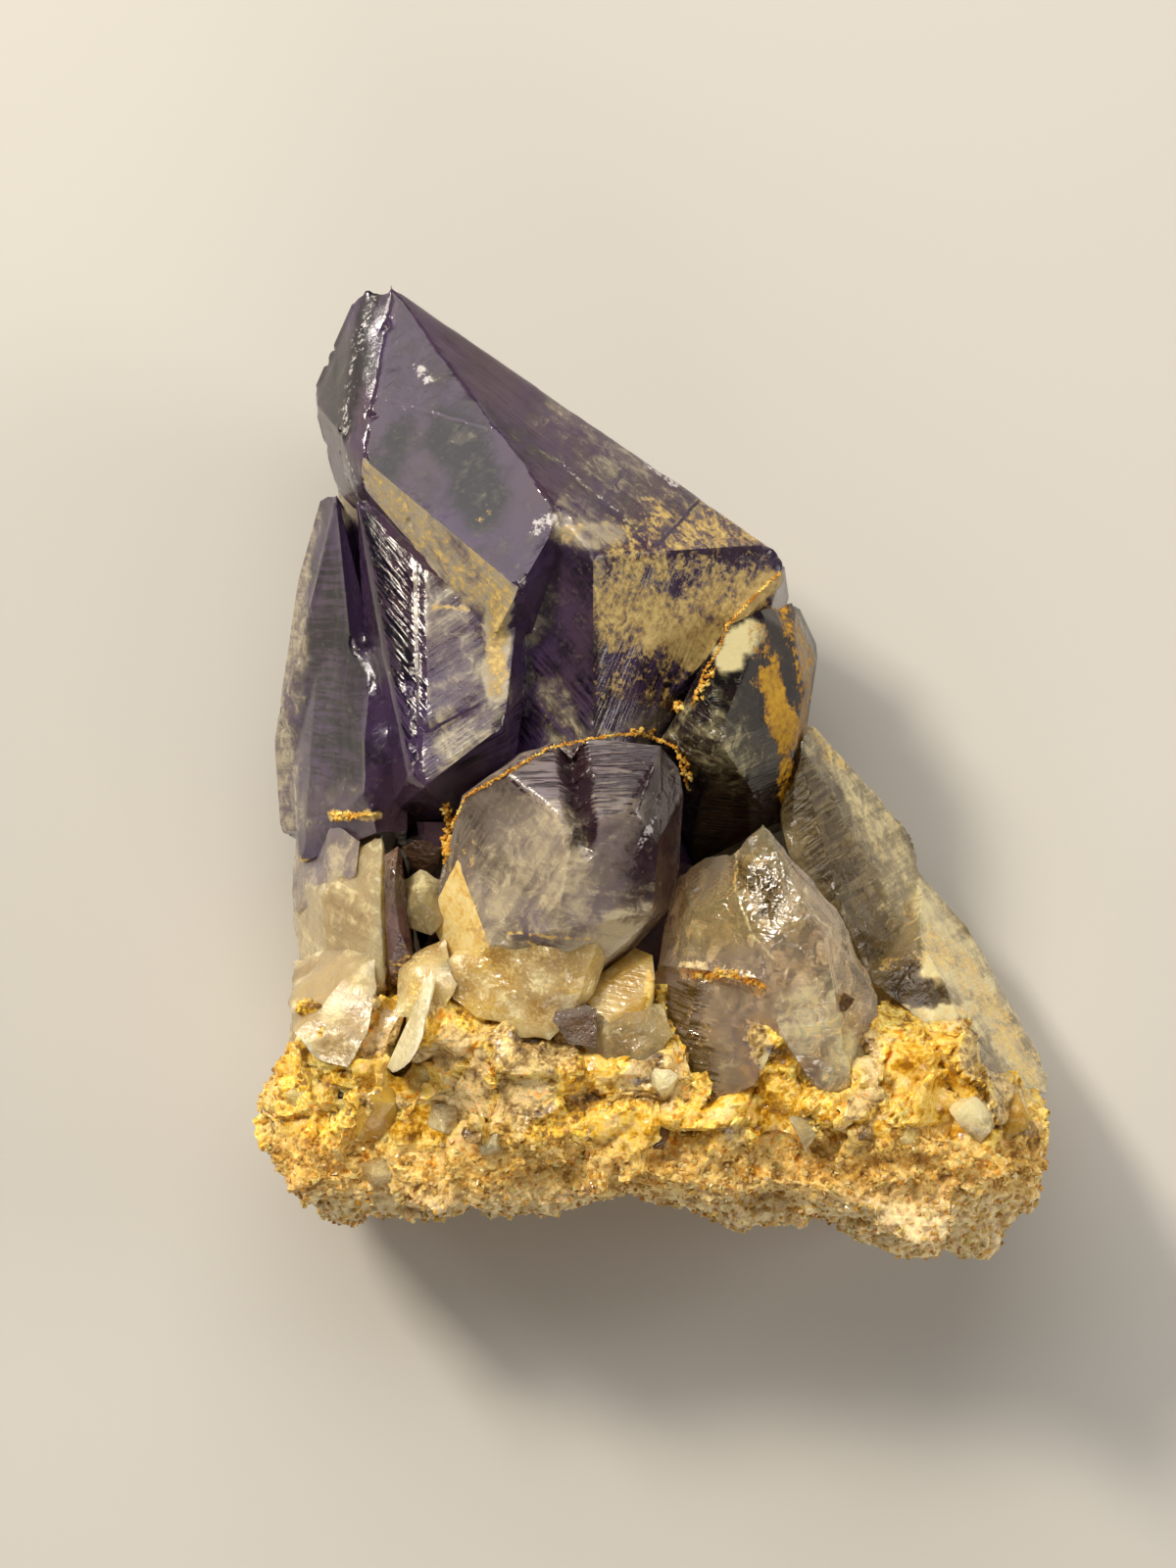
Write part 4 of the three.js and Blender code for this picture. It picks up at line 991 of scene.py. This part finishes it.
def set_quartz(name, slot, material, seed, hulls, wavy=0.45, milk=0.3):
    """Broken quartz set in the cluster: each piece is the hull of its corners, with its flat
    breaks left sharp."""
    points, triangles = [], []
    for corners in hulls:
        bm = bmesh.new()
        for corner in corners:
            bm.verts.new(corner)
        bmesh.ops.convex_hull(bm, input=bm.verts)
        inner = [v for v in bm.verts if not v.link_faces]
        bmesh.ops.delete(bm, geom=inner, context="VERTS")
        for _ in range(4):
            long = [e for e in bm.edges if e.calc_length() > 2 * CHUNK_SPACING]
            if not long:
                break
            bmesh.ops.subdivide_edges(bm, edges=long, cuts=1)
            bmesh.ops.triangulate(bm, faces=bm.faces)
        bmesh.ops.recalc_face_normals(bm, faces=bm.faces)
        bm.verts.index_update()
        first = len(points)
        points += [tuple(v.co) for v in bm.verts]
        triangles += [[first + v.index for v in f.verts] for f in bm.faces]
        bm.free()
    points, triangles = np.array(points), np.array(triangles)
    points = points + wavy * waves(points, 2.6, seed)
    mesh = new_mesh(name, points, triangles, CHUNK_SHARP)
    corners = triangles.ravel()
    rust, veil, tone = (wave(points, size, seed + i)[corners]
        for i, size in enumerate((5.0, 4.0, 6.0)))
    blank = np.zeros(len(corners))
    store(mesh, rust=0.25 * rust + 0.1, veil=milk + 0.4 * veil, tone=0.3 * tone, bruise=blank,
        lined=blank, growth=points[corners])
    new_piece(name, mesh, material, slot)


def small_quartz(name, material, seed, lumps, milk=0.3):
    """Lumps of broken quartz that stand in the rock. A lump is (x, y, width, depth, sunk)."""
    turns = np.random.default_rng(seed)
    hulls = []
    for x, y, width, length, sunk in lumps:
        ball = turns.normal(size=(15, 3))
        ball = ball / np.linalg.norm(ball, axis=1)[:, None]
        ball = ball * turns.uniform(0.8, 1.0, (15, 1))
        tall = 0.5 * min(width, length) * turns.uniform(0.8, 1.1)
        hulls.append(ball * (width / 2, length / 2, tall) + (x, y, height_at(x, y) - sunk * tall))
    set_quartz(name, "ochre_rock", material, seed, hulls, milk=milk)


small_quartz("honey_lumps", honey, 51, [(-27.0, -43.5, 10.0, 12.0, 0.7),
    (-20.3, -38.5, 8.0, 6.0, 0.7), (-36.0, -43.0, 12.0, 12.0, 0.75), (41.0, -46.0, 8.5, 6.5, 0.8),
    (56.0, -43.5, 5.5, 9.0, 0.7)])
# The roots of the crystals, which run on into the rock
set_quartz("front_root", "front_amethyst", foot, 54, [[(-19.5, -24, 45.5), (-17.5, -22.5, 47),
    (-13, -22, 50.2), (-5, -21, 53.0), (1, -21, 52.0), (2.0, -23, 49.8), (0.0, -27, 50.3),
    (-2.0, -31.5, 50.5), (-5, -34.2, 50.2), (-9, -33, 49.4), (-13.5, -30.5, 48.8),
    (-18, -28.5, 47.5), (-17, -22, 40), (3, -22, 40), (-5, -32, 40), (-14, -30, 40)],
    [(-25.0, -23.5, 42), (-19, -20.5, 44.2), (-17.5, -26.5, 48.2), (-20, -31.5, 48.8),
    (-25, -30.5, 45.8), (-22, -25, 46.6), (-23, -28, 40), (-18, -28, 40), (-20, -22, 38)]], 0.75,
    0.15)
set_quartz("milky_root", "milky_quartz", milky, 55, [[(-39.3, -24, 25), (-34, -22, 34.2),
    (-28.6, -22, 41), (-27.6, -26.5, 43.6), (-29.5, -33, 46), (-31.5, -37.5, 46.2),
    (-34.5, -37, 45.6), (-38.6, -33, 44.2), (-39.8, -29.5, 38), (-38, -24, 20), (-30, -24, 30),
    (-33, -36, 38)]], 0.5, 0.35)
set_quartz("clear_chunk", "clear_quartz", clear, 58, [[(-25.2, -12.8, 40.5), (-22.5, -11.8, 43),
    (-19.3, -12.6, 43.5), (-18.6, -17.6, 44.5), (-21, -20, 44), (-25.0, -19.0, 42.0),
    (-22.6, -15.6, 45.6), (-20.8, -16.5, 45.4), (-23, -14, 34), (-20, -18, 34)]], 0.6, 0.3)
set_quartz("violet_chip", "front_amethyst", mauve, 59, [[(-39.6, -6, 16), (-34.2, -5.4, 32.6),
    (-30.5, -7.5, 38.2), (-40.2, -12, 17.5), (-35.0, -10.8, 32.4), (-31, -12, 38.4),
    (-39.8, -17.5, 21.5), (-35.6, -16, 30.5), (-36, -10, 10), (-32, -10, 20)]], 0.3, 0.45)
set_quartz("wedge_root", "clear_quartz", clear, 56, [[(0.5, -29.5, 47.5), (4, -28.0, 48),
    (9.8, -29.0, 48.5), (11.2, -33, 49.9), (8, -37.8, 50.2), (2, -37, 50.0), (-1.0, -34, 49.6),
    (5.5, -31.5, 51.3), (7, -35, 51.2), (2, -30, 42), (9, -31, 42), (5, -36, 44)]], 0.5)
set_quartz("smoky_root", "ochre_rock", smoke, 57, [[(-3.5, -28, 49.5), (1, -29.5, 50.8),
    (1.2, -34.5, 51.6), (-2.5, -34.0, 51.5), (-4.6, -31, 51.0), (-2, -31, 44)]], 0.3)
small_quartz("clear_lumps", clear, 52, [(-27.5, -51.0, 6.5, 5.5, 0.6),
    (-19.2, -44.0, 5.8, 6.2, 0.6), (28.0, -45.5, 4.2, 7.5, 0.4), (50.2, -44.5, 9.0, 9.0, 0.5),
    (-31.0, -30.0, 5.8, 7.5, 0.5), (-13.0, -47.5, 4.5, 4.0, 0.6), (9.5, -39.0, 5.0, 5.5, 0.6)],
    0.6)
small_quartz("smoky_lumps", smoke, 53, [(-15.2, -46.0, 3.4, 3.6, 0.4), (9.3, -45.6, 4.2, 6.2, 0.6),
    (33.5, -28.5, 3.5, 3.5, 0.3), (35.8, -46.0, 3.6, 3.8, 0.4)])


def grown(name, host, tree, material, slot, **inputs):
    """The plain mesh that a Geometry Nodes tree makes on a host mesh, as a finished piece."""
    carrier = link(name + "_carrier", host)
    modifier = carrier.modifiers.new(name, "NODES")
    modifier.node_group = tree
    for item in tree.interface.items_tree:
        if item.in_out == "INPUT" and item.name in inputs:
            modifier[item.identifier] = inputs[item.name]
    mesh = baked(carrier)
    move_to(mesh, read(mesh, "co"))
    new_piece(name, mesh, material, slot)


def new_tree(name, **sockets):
    """A Geometry Nodes tree with its named inputs, and what they give."""
    tree = bpy.data.node_groups.new(name, "GeometryNodeTree")
    for label, kind in {"Geometry": "Geometry", **sockets}.items():
        tree.interface.new_socket(label, in_out="INPUT", socket_type="NodeSocket" + kind)
    tree.interface.new_socket("Geometry", in_out="OUTPUT", socket_type="NodeSocketGeometry")
    return tree, add(tree, "NodeGroupInput").node.outputs


def set_down(tree, places, form, turn, size, material):
    """Stands the form at every place, turned by Euler angles, as plain mesh."""
    turn = add(tree, "FunctionNodeEulerToRotation", {0: turn})
    form = add(tree, "GeometryNodeInstanceOnPoints", {"Points": places, "Instance": form,
        "Rotation": turn, "Scale": size})
    form = add(tree, "GeometryNodeRealizeInstances", {"Geometry": form})
    form = add(tree, "GeometryNodeSetMaterial", {"Geometry": form, "Material": material})
    add(tree, "NodeGroupOutput", {"Geometry": form})
    return tree


def grain_tree(name, material, along_line):
    """Scatters angular grains over a mesh, or along its lines, each with its own tint."""
    tree, given = new_tree(name, Density="Float", Small="Float", Large="Float", Spread="Float",
        Seed="Int")
    if along_line:
        line = add(tree, "GeometryNodeMeshToCurve", {"Mesh": given["Geometry"]})
        places = add(tree, "GeometryNodeResampleCurve", {"Curve": line,
            "Length": given["Density"]}, mode="LENGTH")
    else:
        where = add(tree, "GeometryNodeInputNamedAttribute", {"Name": "grains"},
            data_type="FLOAT")
        density = add(tree, "ShaderNodeMath", {0: where, 1: given["Density"]}, **TIMES)
        places = add(tree, "GeometryNodeDistributePointsOnFaces", {"Mesh": given["Geometry"],
            "Density": density, "Seed": given["Seed"]})
    least = add(tree, "ShaderNodeVectorMath", {0: given["Spread"], 1: (-1, -1, -1)}, **TIMES)
    # How far each grain is moved from its place, how it is turned and how large it is
    offset, turn, size = (
        add(tree, "FunctionNodeRandomValue", {0: low, 1: high, "Seed": seed},
            data_type="FLOAT_VECTOR")
        for low, high, seed in ((least, given["Spread"], 3), ((0, 0, 0), (6.3, 6.3, 6.3), 7),
            (given["Small"], given["Large"], 9)))
    places = add(tree, "GeometryNodeSetPosition", {"Geometry": places, "Offset": offset})
    tint = add(tree, "FunctionNodeRandomValue", {"Seed": 5}, output=1, data_type="FLOAT")
    places = add(tree, "GeometryNodeStoreNamedAttribute", {"Geometry": places, "Name": "tint",
        "Value": tint}, data_type="FLOAT", domain="POINT")
    grain = add(tree, "GeometryNodeMeshCone", {"Vertices": 5, "Radius Top": 0.3,
        "Radius Bottom": 0.55, "Depth": 0.8})
    grain = add(tree, "GeometryNodeSetShadeSmooth", {"Geometry": grain, "Shade Smooth": False})
    return set_down(tree, places, grain, turn, size, material)


def flake_tree(name, material):
    """Fills a closed mesh with thin flakes: the healed cracks inside a crystal."""
    tree, given = new_tree(name, Density="Float", Small="Float", Large="Float", Seed="Int",
        Turn="Vector")
    volume = add(tree, "GeometryNodeMeshToVolume", {"Mesh": given["Geometry"],
        "Voxel Size": 0.8 * MM}, resolution_mode="VOXEL_SIZE")
    places = add(tree, "GeometryNodeDistributePointsInVolume", {"Volume": volume,
        "Density": given["Density"], "Seed": given["Seed"]})
    wobble = add(tree, "FunctionNodeRandomValue", {0: (-0.5, -0.5, -1.5), 1: (0.5, 0.5, 1.5),
        "Seed": 7}, data_type="FLOAT_VECTOR")
    turn = add(tree, "ShaderNodeVectorMath", {0: wobble, 1: given["Turn"]})
    size = add(tree, "FunctionNodeRandomValue", {2: given["Small"], 3: given["Large"], "Seed": 9},
        output=1, data_type="FLOAT")
    size = add(tree, "ShaderNodeVectorMath", {0: size, 1: (1.0, 0.6, 0.03)}, **TIMES)
    flake = add(tree, "GeometryNodeMeshIcoSphere", {"Radius": 0.5, "Subdivisions": 1})
    return set_down(tree, places, flake, turn, size, material)


def inner_copy(node, shrink):
    """The node's skin drawn in by `shrink` millimetres, to fill with flakes."""
    bm = solids(node)
    bmesh.ops.remove_doubles(bm, verts=bm.verts, dist=0.01 * MM)
    bm.normal_update()
    for vert in bm.verts:
        vert.co -= vert.normal * shrink * MM
    return plain(node + "_inner", bm)


crack_tree = flake_tree("healed cracks", crack_finish)
for node, slot, density, turn in (("lilac_crystals", "lilac_quartz", 0.09, (0.5, 0.2, 0.3)),
        ("smoky_crystals", "smoky_quartz", 0.07, (0.2, 0.6, 0)),
        ("milky_crystals", "milky_quartz", 0.09, (0.3, 0.3, 0))):
    grown(node + "_cracks", inner_copy(node, 1.6), crack_tree, crack_finish, slot,
        Density=density * 1e9, Small=0.6 * MM, Large=3.6 * MM, Seed=2, Turn=turn)


def line_mesh(name, *paths):
    """Lines that lie on the skin, from paths seen from above; they skip the gaps in it."""
    points, edges = [], []
    for path in paths:
        first = len(points)
        for (ax, ay), (bx, by) in zip(path, path[1:]):
            steps = max(2, int(math.hypot(bx - ax, by - ay) / LINE_SPACING))
            for i in range(steps + 1):
                x, y = ax + (bx - ax) * i / steps, ay + (by - ay) * i / steps
                z = height_at(x, y)
                if z is not None:
                    points.append((x, y, z))
        edges += [(i, i + 1) for i in range(first, len(points) - 1)]
    mesh = bpy.data.meshes.new(name)
    mesh.from_pydata(to_frame(points).tolist(), edges, [])
    return mesh


scatter = grain_tree("grains on rock", grain_finish, False)
grown("sugar_grains", rock_piece.data.copy(), scatter, grain_finish, "ochre_rock", Density=0.75e6,
    Small=0.3 * MM, Large=0.95 * MM, Spread=0.1 * MM, Seed=11)
grown("crust_grains", crust_piece.data.copy(), scatter, grain_finish, "ochre_rock", Density=0.9e6,
    Small=0.25 * MM, Large=0.8 * MM, Spread=0.1 * MM, Seed=12)
seams = line_mesh("seams", [(-18.2, -6.5), (-16.0, -1.7), (-5.1, 4.7), (3, 6.4), (7.1, 6.7),
    (11.7, 4.9), (13.3, -0.7)], [(25.9, 28.5), (22.1, 24.9), (18.4, 20.9), (17.3, 17.8),
    (15.5, 15.2), (13.7, 10.3)], [(-34.1, -4.2), (-27.9, -4.0)], [(-39.0, -10.9), (-32.7, -10.4)],
    [(-18.4, -4.5), (-18.2, -8.4), (-18.9, -10.5)])
along = grain_tree("crumbs in seams", crumb_finish, True)
grown("seam_crumbs", seams, along, crumb_finish, "ochre_rock", Density=0.1 * MM, Small=0.1 * MM,
    Large=0.42 * MM, Spread=0.14 * MM, Seed=4)
clusters = line_mesh("clusters", [(-18.6, -2.5), (-18.6, -9.5)], [(5.6, 6.9), (8.6, 6.6)],
    [(12.4, 4.0), (13.6, 0.8)], [(14.5, 11.5), (16.5, 15.5)], [(-34.0, -4.3), (-31.0, -4.2)],
    [(-39.0, -10.9), (-36.5, -10.6)], [(11.5, 10.5), (12.2, 10.2)],
    [(14, -25.2), (18, -24.6), (23.0, -26.2)])
grown("seam_clusters", clusters, along, crumb_finish, "ochre_rock", Density=0.12 * MM,
    Small=0.15 * MM, Large=0.8 * MM, Spread=0.5 * MM, Seed=6)

# ------------------------------ stage

floor = link("floor", bpy.data.meshes.new("floor"))
floor.data.from_pydata([(-3, -3, 0), (3, -3, 0), (3, 3, 0), (-3, 3, 0)], [], [(0, 1, 2, 3)])
floor.location.z = -0.05 * MM
# Matt card, so the eye sees an even pale ground with soft shadows
card, _ = new_material("pale matt card")
floor.data.materials.append(finished(card, "#c8c5bf", 0.85))


def softbox(name, direction, distance, width, height, watts, colour="#ffffff"):
    """A rectangular studio light that looks at the cluster."""
    light = bpy.data.lights.new(name, "AREA")
    light.shape = "RECTANGLE"
    light.size, light.size_y = width, height
    light.energy = watts
    light.color = linear(colour)[:3]
    lamp = link(name, light)
    lamp.location = Vector(direction).normalized() * distance
    lamp.rotation_euler = (-Vector(direction)).to_track_quat("-Z", "Y").to_euler()


softbox("key_light", (-0.12, 0.66, 0.75), 1.1, 1.1, 0.9, 8.0, "#fffaf2")
softbox("lamp", (-0.5, 0.5, 0.7), 1.2, 0.22, 0.22, 11.0, "#fff4e0")
softbox("sparkle_light", (-0.81, 0.57, 0.14), 1.1, 0.16, 0.16, 3.0, "#fff8ec")
softbox("low_fill", (0.1, -0.9, 0.45), 1.4, 0.9, 0.5, 5.0, "#fffaf2")
softbox("side_light", (0.9, 0.1, 0.5), 1.3, 0.5, 0.5, 5.2, "#fffaf2")

world = bpy.data.worlds.new("studio")
world.use_nodes = True
glow = world.node_tree.nodes["Background"].inputs
glow["Color"].default_value, glow["Strength"].default_value = linear("#eef0f2"), 0.1
scene = bpy.context.scene
scene.world = world
scene.view_settings.view_transform = "Standard"

lens = bpy.data.cameras.new("camera")
lens.sensor_fit = "VERTICAL"
lens.angle = 2 * math.atan(HALF_VIEW / (CAMERA_HEIGHT - VIEW_PLANE))
lens.clip_start = 0.01
camera = link("camera", lens)
camera.location = to_frame((0, 0, CAMERA_HEIGHT)).tolist()
scene.camera = camera
